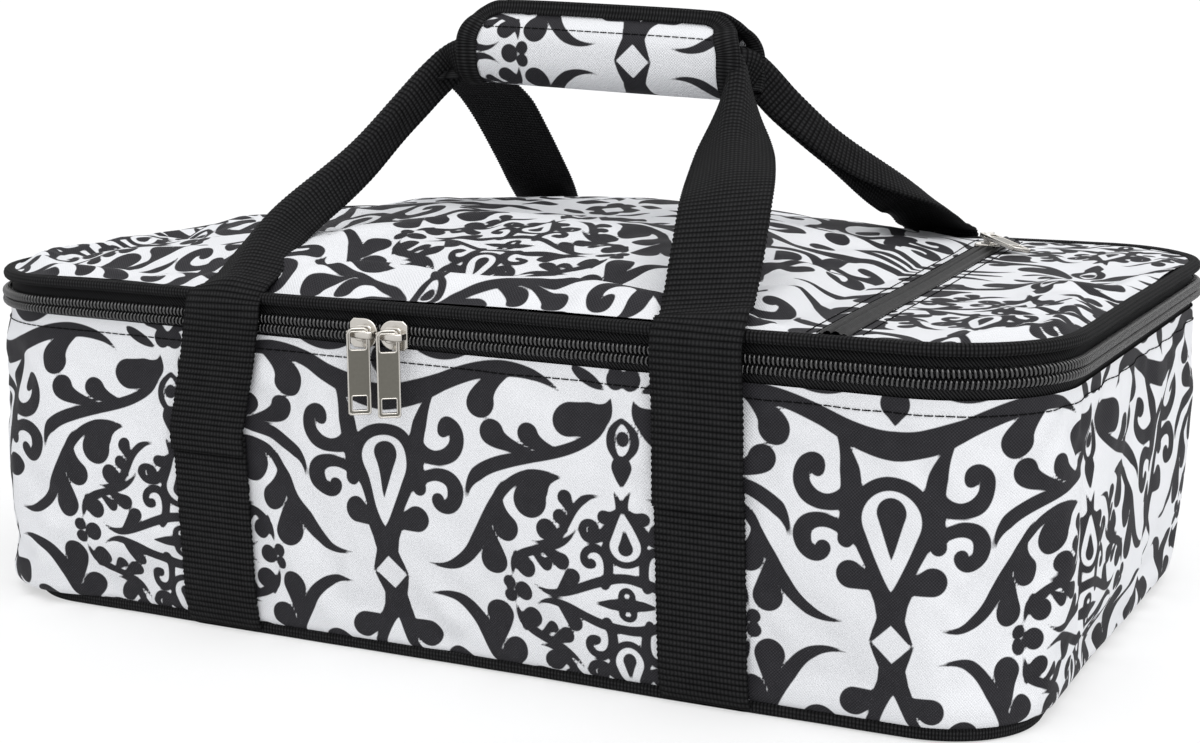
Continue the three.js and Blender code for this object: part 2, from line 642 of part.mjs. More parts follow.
const pouchTop = LID_EDGE_TOP - CLOTH - POCKET_DEPTH;
addPiece('pocket_lining', crownedLayer(LID_EDGE_INSET, pouchTop, POCKET_LINING), 'pouch');
const lidFoamTop = pouchTop - POCKET_LINING - GAP;
addPiece('lid_foam', crownedLayer(LID_EDGE_INSET, lidFoamTop, lidFoamTop - LID_UNDERSIDE, true), 'foam');
const lidLiningTop = LID_UNDERSIDE - GAP;
addPiece('lid_lining', stack([[-LID_EDGE_INSET, lidLiningTop - LINING], [-LID_EDGE_INSET, lidLiningTop]]), 'lining');

const lidBindingInner = LID_BINDING_PROUD - LID_BINDING_WIDTH;
addPiece('lid_binding', band([
  [lidBindingInner, LID_BINDING_BOTTOM],
  [LID_BINDING_PROUD, LID_BINDING_BOTTOM],
  [LID_BINDING_PROUD, RIM_TOP - BINDING_BEVEL],
  [LID_BINDING_PROUD - BINDING_BEVEL, RIM_TOP],
  [lidBindingInner, RIM_TOP],
]), 'binding');

// Handles and grip

addPiece('front_handle_webbing', handleWebbing(-1), 'webbing');
addPiece('rear_handle_webbing', handleWebbing(1), 'webbing');

for (const [prefix, side] of [['grip', -1], ['grip_flap', 1]]) {
  const cover = gripShell(side, 0, CLOTH, GRIP_POINTS);
  const pad = gripShell(side, CLOTH + GAP, GRIP_FOAM, GRIP_ROUND_POINTS);
  addPiece(`${prefix}_cover`, alongX(cover, GRIP_LENGTH), 'print');
  addPiece(`${prefix}_pad`, alongX(pad, GRIP_LENGTH), 'foam');
  addPiece(`${prefix}_binding`, gripBinding(side), 'binding');
}
addPiece('hook_strip', closureStrip(-1), 'hook');
addPiece('loop_strip', closureStrip(1), 'hook');

// Sliders and pulls

const bailAxis = (outside) => outside + PLATE + BAIL_STAND_OFF;

// Sets a slider and its pull in a frame on the zip: X along the zip, -Y out of the cloth
function addSlider(prefix, at, turn, outside, inside, noseLeft) {
  const zipFrame = new THREE.Group();
  zipFrame.position.copy(at);
  zipFrame.quaternion.copy(turn);
  carrier.add(zipFrame);
  addPiece(`${prefix}_slider`, sliderBody(outside, inside, noseLeft), 'nickel', zipFrame);
  const pull = addPiece(`${prefix}_pull`, pullTab(), 'nickel', zipFrame);
  pull.position.y = -bailAxis(outside);
  pull.rotation.z = PULL_TURN;
}

const frontOutside = COIL_PROUD + ZIP_PLAY;
const frontInside = TAPE - TAPE_FACE + ZIP_PLAY;
const onFront = (x) => new THREE.Vector3(x, -RIM_DEPTH / 2, ZIP_HEIGHT);
const upright = new THREE.Quaternion();
addSlider('left', onFront(SLIDER_LEFT_X), upright, frontOutside, frontInside, false);
addSlider('right', onFront(SLIDER_RIGHT_X), upright, frontOutside, frontInside, true);

const zAxis = new THREE.Vector3(0, 0, 1);
const alongPocket = new THREE.Vector3(0, 1, 0).applyAxisAngle(zAxis, POCKET_SLANT);
const acrossPocket = new THREE.Vector3().crossVectors(alongPocket, zAxis);
const onPocket = new THREE.Vector3(POCKET_ZIP_X, 0, LID_EDGE_TOP).addScaledVector(
  alongPocket,
  RIM_DEPTH / 2 - POCKET_SLIDER_FROM_RIM,
);
const lyingDown = new THREE.Quaternion().setFromRotationMatrix(new THREE.Matrix4().makeBasis(
  alongPocket,
  zAxis.clone().negate(),
  acrossPocket.clone().negate(),
));
const pocketInside = CLOTH + GAP + POCKET_COIL_THICK + ZIP_PLAY;
addSlider('pocket', onPocket, lyingDown, ZIP_PLAY, pocketInside, false);

export default carrier;
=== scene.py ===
"""Looks of the casserole carrier: printed padded cloth, black webbing, coil zips and nickel pulls.

Sizes are in millimetres in the same frame as the solids: origin in the middle of the underside, front at -Y.
"""

import math

import bpy
import numpy as np
from mathutils import Matrix, Vector


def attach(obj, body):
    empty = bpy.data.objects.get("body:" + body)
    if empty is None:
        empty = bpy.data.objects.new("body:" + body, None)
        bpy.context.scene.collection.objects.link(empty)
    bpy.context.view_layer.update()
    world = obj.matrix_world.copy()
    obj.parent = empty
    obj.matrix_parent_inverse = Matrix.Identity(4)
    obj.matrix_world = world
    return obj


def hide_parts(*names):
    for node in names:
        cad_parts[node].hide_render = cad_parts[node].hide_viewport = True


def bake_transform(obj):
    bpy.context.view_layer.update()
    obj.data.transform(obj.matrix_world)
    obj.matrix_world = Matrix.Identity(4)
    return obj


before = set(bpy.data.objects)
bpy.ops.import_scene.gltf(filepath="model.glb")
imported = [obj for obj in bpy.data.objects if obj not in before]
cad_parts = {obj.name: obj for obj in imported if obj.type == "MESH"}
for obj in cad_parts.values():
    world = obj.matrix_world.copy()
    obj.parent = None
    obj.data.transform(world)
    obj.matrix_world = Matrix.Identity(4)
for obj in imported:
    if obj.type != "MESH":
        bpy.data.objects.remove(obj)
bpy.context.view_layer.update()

MM = 0.001

# Rim of the lid, from which walls, tapes and bindings are set off
RIM_LENGTH = 400.0
RIM_DEPTH = 242.0
RIM_RADIUS = 42.5

# Heights, from the floor up
BINDING_FOOT = 2.4
WALL_FOOT = 3.2
STITCH_HEIGHT = 72.0
WALL_TOP = 104.6
ZIP_HEIGHT = 111.5
TAPE_TOP = 117.9
LID_EDGE = 120.9
GRIP_CENTRE = 195.95
GRIP_TOP = 213.9

# Walls
WALL_INSET_FOOT = 6.3
WALL_INSET_TOP = 1.4
CLOTH_STEP = 0.9
FOOT_ROLL = 4.0
LEFT_SLOUCH = 9.5

# Webbing
WEB_WIDTH = 30.0
WEB_THICK = 1.6
WEB_SPREAD = 91.75
WEB_SHIFT = 1.75
RIM_SPREAD = 87.0
RIM_SWAY = {"front": 7.0, "rear": 4.0}

# Pocket zip
POCKET_X = 126.0
POCKET_SLANT = math.radians(4)
POCKET_HALF = 4.4

# Grip
GRIP_LENGTH = 113.0
GRIP_SHIFT = 3.2
GRIP_TILT = math.tan(math.radians(2.7))
GRIP_HALF_HEIGHT = 13.0
GRIP_HALF_DEPTH = 12.5

# Colours, as linear light
CLOTH_WHITE = (0.86, 0.865, 0.882, 1)
CLOTH_SHADE = (0.76, 0.768, 0.79, 1)
INK = (0.006, 0.0057, 0.0072, 1)
INK_WORN = (0.040, 0.039, 0.044, 1)
# BLACK_DEEP and BLACK_LIGHT are also the two ends of the painted shade between the ribs of webbing and
# binding
BLACK_DEEP = (0.0015, 0.0015, 0.0017, 1)
BLACK_LIGHT = (0.034, 0.034, 0.035, 1)
BLACK_GLOSSY = (0.008, 0.008, 0.0085, 1)
FILM_DARK = (0.42, 0.43, 0.45, 1)
FILM_BRIGHT = (0.66, 0.67, 0.70, 1)
# Nickel: the lit and the shaded ends of a painted reflection that follows which way each side faces
NICKEL_PAINTED_LIGHT = (0.88, 0.85, 0.80, 1)
NICKEL_PAINTED_SHADE = (0.30, 0.28, 0.25, 1)
# Satin: coloured dark as a painted reflection of a dark room, with the same painted light and shade by facing
SATIN_PAINTED_LIGHT = (0.25, 0.24, 0.21, 1)
SATIN_PAINTED_SHADE = (0.075, 0.071, 0.06, 1)
BOARD_GREY = (0.25, 0.25, 0.24, 1)
BOARD_SHADE = (0.2, 0.2, 0.192, 1)


# Shader maths

class Value:
    """A shader socket that takes part in ordinary sums."""

    def __init__(self, graph, socket):
        self.graph = graph
        self.socket = socket

    def __add__(self, other):
        return self.graph.maths("ADD", self, other)

    def __radd__(self, other):
        return self.graph.maths("ADD", other, self)

    def __sub__(self, other):
        return self.graph.maths("SUBTRACT", self, other)

    def __rsub__(self, other):
        return self.graph.maths("SUBTRACT", other, self)

    def __mul__(self, other):
        return self.graph.maths("MULTIPLY", self, other)

    def __rmul__(self, other):
        return self.graph.maths("MULTIPLY", other, self)

    def __truediv__(self, other):
        return self.graph.maths("DIVIDE", self, other)

    def __rtruediv__(self, other):
        return self.graph.maths("DIVIDE", other, self)

    def __abs__(self):
        return self.graph.maths("ABSOLUTE", self)

    def sine(self):
        return self.graph.maths("SINE", self)

    def clamped(self):
        return self.graph.maths("ADD", self, 0.0, clamp=True)


# Sockets of a Mix node that mixes colours
MIX_SHARE, MIX_FIRST, MIX_SECOND, MIX_RESULT = 0, 6, 7, 2


class Graph:
    """The node tree of one material, or of the world."""

    def __init__(self, owner):
        owner.use_nodes = True
        self.owner = owner
        self.tree = owner.node_tree

    def node(self, kind, settings=None, **sockets):
        made = self.tree.nodes.new(kind)
        for key, value in (settings or {}).items():
            setattr(made, key, value)
        for key, value in sockets.items():
            self.feed(made.inputs[key.replace("_", " ")], value)
        return made

    def feed(self, socket, value):
        if isinstance(value, Value):
            self.tree.links.new(value.socket, socket)
        else:
            socket.default_value = value

    def maths(self, operation, *values, clamp=False):
        made = self.node("ShaderNodeMath", {"operation": operation, "use_clamp": clamp})
        for socket, value in zip(made.inputs, values):
            self.feed(socket, value)
        return Value(self, made.outputs[0])

    def number(self, name):
        made = self.node("ShaderNodeAttribute", {"attribute_name": name})
        return Value(self, made.outputs["Fac"])

    def place(self):
        """Distances along and across the cloth, in millimetres."""
        made = self.node("ShaderNodeAttribute", {"attribute_name": "place"})
        split = self.node("ShaderNodeSeparateXYZ", Vector=Value(self, made.outputs["Vector"]))
        return Value(self, split.outputs["X"]), Value(self, split.outputs["Y"])

    def noise(self, size, detail=2.0):
        """Soft random values from 0 to 1 in blots of about that many millimetres."""
        where = self.node("ShaderNodeTexCoord")
        made = self.node("ShaderNodeTexNoise", Vector=Value(self, where.outputs["Object"]),
                         Scale=1 / (size * MM), Detail=detail)
        return Value(self, made.outputs["Fac"])

    def blend(self, share, first, second):
        """A colour between two colours."""
        made = self.node("ShaderNodeMix", {"data_type": "RGBA"})
        self.feed(made.inputs[MIX_SHARE], share)
        self.feed(made.inputs[MIX_FIRST], first)
        self.feed(made.inputs[MIX_SECOND], second)
        return Value(self, made.outputs[MIX_RESULT])

    def bump(self, height, depth):
        """A normal from a height of 0 to 1 that stands for that many millimetres."""
        made = self.node("ShaderNodeBump", Strength=1.0, Distance=depth * MM, Height=height)
        return Value(self, made.outputs["Normal"])

    def surface(self, **sockets):
        shader = self.tree.nodes["Principled BSDF"]
        for key, value in sockets.items():
            self.feed(shader.inputs[key.replace("_", " ")], value)
        return self.owner

    def mix_shown(self, share, first, second, output):
        """Puts a mix of two shaders at the tree's output."""
        mix = self.node("ShaderNodeMixShader", Fac=share)
        self.feed(mix.inputs[1], Value(self, first.outputs[0]))
        self.feed(mix.inputs[2], Value(self, second.outputs[0]))
        self.feed(self.tree.nodes[output].inputs["Surface"], Value(self, mix.outputs[0]))


def material_graph(name):
    return Graph(bpy.data.materials.new(name))


# Finishes, with thread and rib sizes in millimetres

TURN = 2 * math.pi
CLOTH_THREAD = 1.05
INK_EDGE = 0.35
RIB_FLOAT = 1.3
WEB_RIB = 2.0


def wave(distance, length):
    """Rises and falls between 0 and 1 once in each length."""
    return (distance * (TURN / length)).sine() * 0.5 + 0.5


def printed_cloth():
    """White oxford cloth with the scroll print in ink."""
    g = material_graph("printed_cloth")
    along, across = g.place()
    turn = TURN / CLOTH_THREAD
    weave = (along * turn).sine() * (across * turn).sine() * 0.5 + 0.5
    ink = (0.5 - g.number("ink") / INK_EDGE).clamped()
    black = g.blend((weave * 0.8 + g.noise(4) * 0.3).clamped(), INK, INK_WORN)
    soft = (g.noise(14) * 0.25 + weave * 0.55).clamped()
    white = g.blend(soft, CLOTH_WHITE, CLOTH_SHADE)
    return g.surface(
        Base_Color=g.blend(ink, white, black),
        Roughness=0.8 - ink * 0.12,
        Normal=g.bump(weave, 0.16),
        Specular_IOR_Level=0.14,
    )


def ribbed_black(name, pitch, depth, gloss):
    """Black woven tape with ribs across it, each rib a row of small floats. Its colour holds painted shade,
    darker in the grooves between the ribs and the floats, and random worn blots.
    """
    g = material_graph(name)
    along, across = g.place()
    rib = abs((along * (math.pi / pitch)).sine())
    floats = wave(across, RIB_FLOAT)
    worn = g.noise(6)
    # painted shade: darker in the grooves between ribs and floats, plus random worn blots
    painted_rib_shade_and_wear = (rib * (0.35 + floats * 0.55) + worn * 0.24 - 0.12).clamped()
    return g.surface(
        Base_Color=g.blend(painted_rib_shade_and_wear, BLACK_DEEP, BLACK_LIGHT),
        Roughness=gloss + worn * 0.1,
        Normal=g.bump(rib * (0.6 + floats * 0.4), depth),
        Specular_IOR_Level=0.06,
    )


def woven_black(name, pitch, gloss):
    """Fine black twill, as on zip tapes and on the closure strips."""
    g = material_graph(name)
    along, across = g.place()
    twill = wave(along + across, pitch)
    return g.surface(
        Base_Color=g.blend(twill, BLACK_DEEP, BLACK_LIGHT),
        Roughness=gloss,
        Normal=g.bump(twill, 0.15),
        Specular_IOR_Level=0.06,
    )


def smooth_black(name, gloss, shine):
    """Moulded or coated black with a faint mottle."""
    g = material_graph(name)
    mottle = g.noise(3)
    return g.surface(
        Base_Color=g.blend(mottle, BLACK_DEEP, BLACK_GLOSSY),
        Roughness=gloss + mottle * 0.12,
        Normal=g.bump(mottle, 0.1),
        Specular_IOR_Level=shine,
    )


def nickel_plate(name, bright, dull, gloss):
    """Plated metal with fine handling marks and a painted reflection: brighter on the sides that look up,
    darker on the sides that look down.
    """
    g = material_graph(name)
    marks = g.noise(1.2, 4.0)
    where = g.node("ShaderNodeNewGeometry")
    facing = g.node("ShaderNodeSeparateXYZ", Vector=Value(g, where.outputs["Normal"]))
    # painted reflection of a bright ceiling and a darker floor, by the way each side faces, mixed with the
    # handling marks
    upward = (Value(g, facing.outputs["Z"]) * 0.6 + 0.35 + marks * 0.2).clamped()
    return g.surface(Base_Color=g.blend(upward, dull, bright), Metallic=1.0, Roughness=gloss + marks * 0.14)


def silver_lining():
    """Wipe-clean silver film with a soft crinkle."""
    g = material_graph("silver_lining")
    crinkle = g.noise(7, 4.0)
    return g.surface(
        Base_Color=g.blend(crinkle, FILM_DARK, FILM_BRIGHT),
        Metallic=0.65,
        Roughness=0.3 + crinkle * 0.2,
        Normal=g.bump(crinkle, 1.2),
    )


def grey_board():
    """Stiff grey board with a faint mottle."""
    g = material_graph("board")
    return g.surface(Base_Color=g.blend(g.noise(2), BOARD_GREY, BOARD_SHADE), Roughness=0.6)


PRINT = printed_cloth()
# webbing and binding carry painted shade in the grooves between their ribs
WEBBING = ribbed_black("webbing", pitch=WEB_RIB, depth=0.7, gloss=0.7)
BINDING = ribbed_black("binding", pitch=1.2, depth=0.4, gloss=0.7)
TAPE = woven_black("zip_tape", pitch=1.2, gloss=0.75)
POCKET_TAPE = smooth_black("pocket_tape", gloss=0.42, shine=0.16)
COIL = smooth_black("coil", gloss=0.16, shine=1.0)
THREAD = smooth_black("thread", gloss=0.7, shine=0.04)
BASE_CLOTH = smooth_black("base_cloth", gloss=0.55, shine=0.2)
NICKEL = nickel_plate("nickel", NICKEL_PAINTED_LIGHT, NICKEL_PAINTED_SHADE, gloss=0.16)
# the satin tabs are coloured dark as a painted reflection of a dark room
SATIN = nickel_plate("satin_nickel", SATIN_PAINTED_LIGHT, SATIN_PAINTED_SHADE, gloss=0.26)
LINING = silver_lining()
BOARD = grey_board()
HOOK = woven_black("hook_and_loop", pitch=0.8, gloss=0.95)


# Meshes

CURVE_STEPS = 24


def shown(name, data):
    """A new object of the scene."""
    obj = bpy.data.objects.new(name, data)
    bpy.context.scene.collection.objects.link(obj)
    return obj


def make_piece(name, points, faces, material, place=None, ink=None):
    """A mesh object from points in millimetres, with its cloth distances and print distances."""
    mesh = bpy.data.meshes.new(name)
    mesh.from_pydata((points.reshape(-1, 3) * MM).tolist(), [], faces)
    if place is not None:
        store = mesh.attributes.new("place", "FLOAT_VECTOR", "POINT")
        store.data.foreach_set("vector", place.astype(np.float32).ravel())
    if ink is not None:
        store = mesh.attributes.new("ink", "FLOAT", "POINT")
        store.data.foreach_set("value", ink.astype(np.float32).ravel())
    mesh.polygons.foreach_set("use_smooth", [True] * len(mesh.polygons))
    mesh.materials.append(material)
    mesh.update()
    return shown(name, mesh)


def grid_faces(rows, columns, round_columns=False, round_rows=False):
    last_row = rows if round_rows else rows - 1
    last_column = columns if round_columns else columns - 1
    i, j = np.meshgrid(np.arange(last_row), np.arange(last_column), indexing="ij")
    i2, j2 = (i + 1) % rows, (j + 1) % columns
    corners = [i * columns + j, i * columns + j2, i2 * columns + j2, i2 * columns + j]
    return np.stack(corners, -1).reshape(-1, 4)


def repeated_tubes(rows, columns, copies):
    """Faces of equal open tubes, one after the other."""
    one = grid_faces(rows, columns, True)
    first = np.arange(copies) * rows * columns
    return (one[None] + first[:, None, None]).reshape(-1, 4)


def cloth_distances(along, across, rows, columns):
    """Distances along, across and out of the cloth at each place of a grid."""
    spread = [np.broadcast_to(part, (rows, columns)) for part in (along, across, 0.0)]
    return np.stack(spread, -1)


def sheet_piece(name, points, material, along, across, ink=None, flip=False):
    """A sheet from a grid of points, with distances along and across the cloth."""
    rows, columns = points.shape[:2]
    faces = grid_faces(rows, columns)
    if flip:
        faces = faces[:, ::-1]
    place = cloth_distances(along, across, rows, columns)
    return make_piece(name, points, faces.tolist(), material, place, ink)


def loop_piece(name, sections, material, along, across, closed_run=False):
    """A solid swept from closed sections, one row of points each, with flat end caps on an open run."""
    rows, columns = sections.shape[:2]
    faces = grid_faces(rows, columns, True, closed_run).tolist()
    if not closed_run:
        first = list(range(columns))
        faces.append(first[::-1])
        faces.append([(rows - 1) * columns + k for k in first])
    return make_piece(name, sections, faces, material, cloth_distances(along, across, rows, columns))


def settle(obj, body, slot, *nodes):
    """Ties a piece to the body that it moves with and hides the solids that it stands for; its record slot is
    not used.
    """
    if nodes:
        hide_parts(*nodes)
    if body:
        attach(obj, body)
    return obj


def unit(vectors):
    return vectors / np.maximum(np.linalg.norm(vectors, axis=-1, keepdims=True), 1e-9)


def smoothstep(x, low, high):
    """Rises smoothly from 0 at the low value to 1 at the high one."""
    t = np.clip((x - low) / (high - low), 0, 1)
    return t * t * (3 - 2 * t)


def rise_and_fall(x, start, full, fading, gone):
    """0 up to the start, 1 from full to fading, and 0 again once gone."""
    return smoothstep(x, start, full) * (1 - smoothstep(x, fading, gone))


def hump(x, middle, width):
    """1 at the middle, falling away to both sides."""
    return np.exp(-(((x - middle) / width) ** 2))


def run_lengths(path):
    """Distance along a path at each of its points."""
    return np.r_[0, np.cumsum(np.linalg.norm(np.diff(path, axis=0), axis=1))]


def on_path(where, far, path):
    """Points of a path at distances along it."""
    return np.stack([np.interp(where, far, part) for part in path.T], -1)


def smooth_path(points, step):
    """Points at even steps along a smooth curve through the given ones, and their distances along it."""
    p = np.asarray(points, float)
    p = np.vstack([2 * p[0] - p[1], p, 2 * p[-1] - p[-2]])
    t = np.linspace(0, 1, CURVE_STEPS, endpoint=False)[:, None]
    runs = []
    for a, b, c, d in zip(p[:-3], p[1:-2], p[2:-1], p[3:]):
        runs.append(0.5 * (2 * b + (c - a) * t + (2 * a - 5 * b + 4 * c - d) * t**2
                           + (3 * b - a - 3 * c + d) * t**3))
    fine = np.vstack([*runs, p[-2:-1]])
    far = run_lengths(fine)
    even = np.linspace(0, far[-1], int(far[-1] / step) + 1)
    return on_path(even, far, fine), even


def rounded_box(x, y, width, height, radius, steps, first=0):
    """Points round a box with round corners, anticlockwise from the corner at that angle."""
    points = []
    for turn in range(first, first + 360, 90):
        start = turn % 360
        side_x = math.copysign(width / 2 - radius, math.cos(math.radians(start + 45)))
        side_y = math.copysign(height / 2 - radius, math.sin(math.radians(start + 45)))
        for k in range(steps + 1):
            a = math.radians(start + 90 * k / steps)
            points.append((x + side_x + radius * math.cos(a), y + side_y + radius * math.sin(a)))
    return points


# The rim, by distance from the middle of the front, to the right when positive

STRAIGHT_X = RIM_LENGTH / 2 - RIM_RADIUS
STRAIGHT_Y = RIM_DEPTH / 2 - RIM_RADIUS
QUARTER = math.pi * RIM_RADIUS / 2
HALF_ROUND = 2 * STRAIGHT_X + 2 * STRAIGHT_Y + 2 * QUARTER
ZIP_END = STRAIGHT_X + 1.5 * QUARTER + 2 * STRAIGHT_Y
EDGE_ROUNDING = 0.45
EDGE_STEPS = 3
EDGE_TAPE_STEP = 1.6
SEWING_WOBBLE = 0.12
WOBBLE_RUNS = (17, 7.3, 23)


def rim_at(distance):
    """Plan position and outward direction on the rim."""
    s = np.asarray(distance, float)
    t = np.abs(s)
    corner1 = np.clip((t - STRAIGHT_X) / QUARTER, 0, 1)
    corner2 = np.clip((t - STRAIGHT_X - QUARTER - 2 * STRAIGHT_Y) / QUARTER, 0, 1)
    angle = -math.pi / 2 * (1 - corner1 - corner2)
    out = np.stack([np.cos(angle), np.sin(angle)], -1)
    front = np.minimum(t, STRAIGHT_X)
    side = np.clip(t - STRAIGHT_X - QUARTER, 0, 2 * STRAIGHT_Y)
    rear = np.maximum(t - STRAIGHT_X - 2 * QUARTER - 2 * STRAIGHT_Y, 0)
    at = np.stack([front - rear, side - STRAIGHT_Y], -1) + out * RIM_RADIUS
    mirror = np.stack([np.where(s < 0, -1.0, 1.0), np.ones_like(s)], -1)
    return at * mirror, out * mirror


def off_rim(distance, offset, height):
    """Points set off outwards from the rim, for arrays of equal shape."""
    at, out = rim_at(distance)
    flat = at + out * np.asarray(offset)[..., None]
    return np.concatenate([flat, np.broadcast_to(height, flat.shape[:-1])[..., None]], -1)


def rim_rings(count, levels):
    """Closed rings of points off the rim, one for each [offset, height]."""
    run = np.linspace(-HALF_ROUND, HALF_ROUND, count)
    return np.stack([off_rim(run, np.full_like(run, offset), height) for offset, height in levels])


def drawn_to_middle(ring, shares):
    """Copies of a level ring, drawn in towards its middle."""
    return np.stack([ring * np.array([share, share, 1]) for share in shares])


def rim_band(name, section, material, step, ends=None, wobble=0.0, tuck=None):
    """Sweeps a closed section of [offset, height] points along the rim, all round or between two ends."""
    if ends:
        run = np.linspace(*ends, int((ends[1] - ends[0]) / step) + 1)
    else:
        run = np.linspace(-HALF_ROUND, HALF_ROUND, int(2 * HALF_ROUND / step), endpoint=False)
    section = np.asarray(section, float)
    # uneven sewing, in waves that never fall together
    first, second, third = [run[:, None] / length for length in WOBBLE_RUNS]
    offsets = section[None, :, 0] + wobble * np.sin(first) * np.sin(second)
    heights = section[None, :, 1] + wobble * np.sin(third + 1)
    if tuck:
        offsets = offsets - tuck(run)[:, None]
    s = np.broadcast_to(run[:, None], offsets.shape)
    points = off_rim(s, offsets, heights)
    return loop_piece(name, points, material, run[:, None], run_lengths(section)[None], not ends)


def edge_tape(name, offset, height, width, tall, tuck=None):
    """A binding folded over an edge all round the rim."""
    radius = min(width, tall) * EDGE_ROUNDING
    section = rounded_box(offset, height, width, tall, radius, EDGE_STEPS, 180)
    return rim_band(name, section, BINDING, EDGE_TAPE_STEP, wobble=SEWING_WOBBLE, tuck=tuck)


# The scroll print: a quarter cell of inked strokes, mirrored both ways

CELL_HALF_WIDTH = 87.0
CELL_HALF_HEIGHT = 80.0
PRINT_STEP = 0.5
STROKE_DISCS = 110
ALONG_STROKE = np.linspace(0, 1, STROKE_DISCS)
DIAMOND_HALF_WIDTH = 6.2
DIAMOND_HALF_HEIGHT = 6.0
DIAMOND_REACH = 4.3


def bent_line(points):
    """Evenly timed points on a Bezier curve."""
    t = ALONG_STROKE[:, None]
    level = [np.broadcast_to(np.array(p, float), (STROKE_DISCS, 2)) for p in points]
    while len(level) > 1:
        level = [a * (1 - t) + b * t for a, b in zip(level, level[1:])]
    return level[0]


def stroke(points, radii):
    """Discs along a curve, with radii spaced evenly along it."""
    spaced = np.linspace(0, 1, len(radii))
    return np.column_stack([bent_line(points), np.interp(ALONG_STROKE, spaced, radii)])


def ball(u, v, radius):
    return np.array([[u, v, radius]])


def comma(head, bend, tail, size):
    """A round head that tapers along a bent tail."""
    return np.column_stack([bent_line([head, bend, tail]), size * (1 - ALONG_STROKE) ** 0.85])


def leaf(start, bend, end, width):
    """A leaf pointed at both ends, along a bend."""
    widths = width * np.sin(math.pi * ALONG_STROKE**0.8) ** 0.9
    return np.column_stack([bent_line([start, bend, end]), widths])


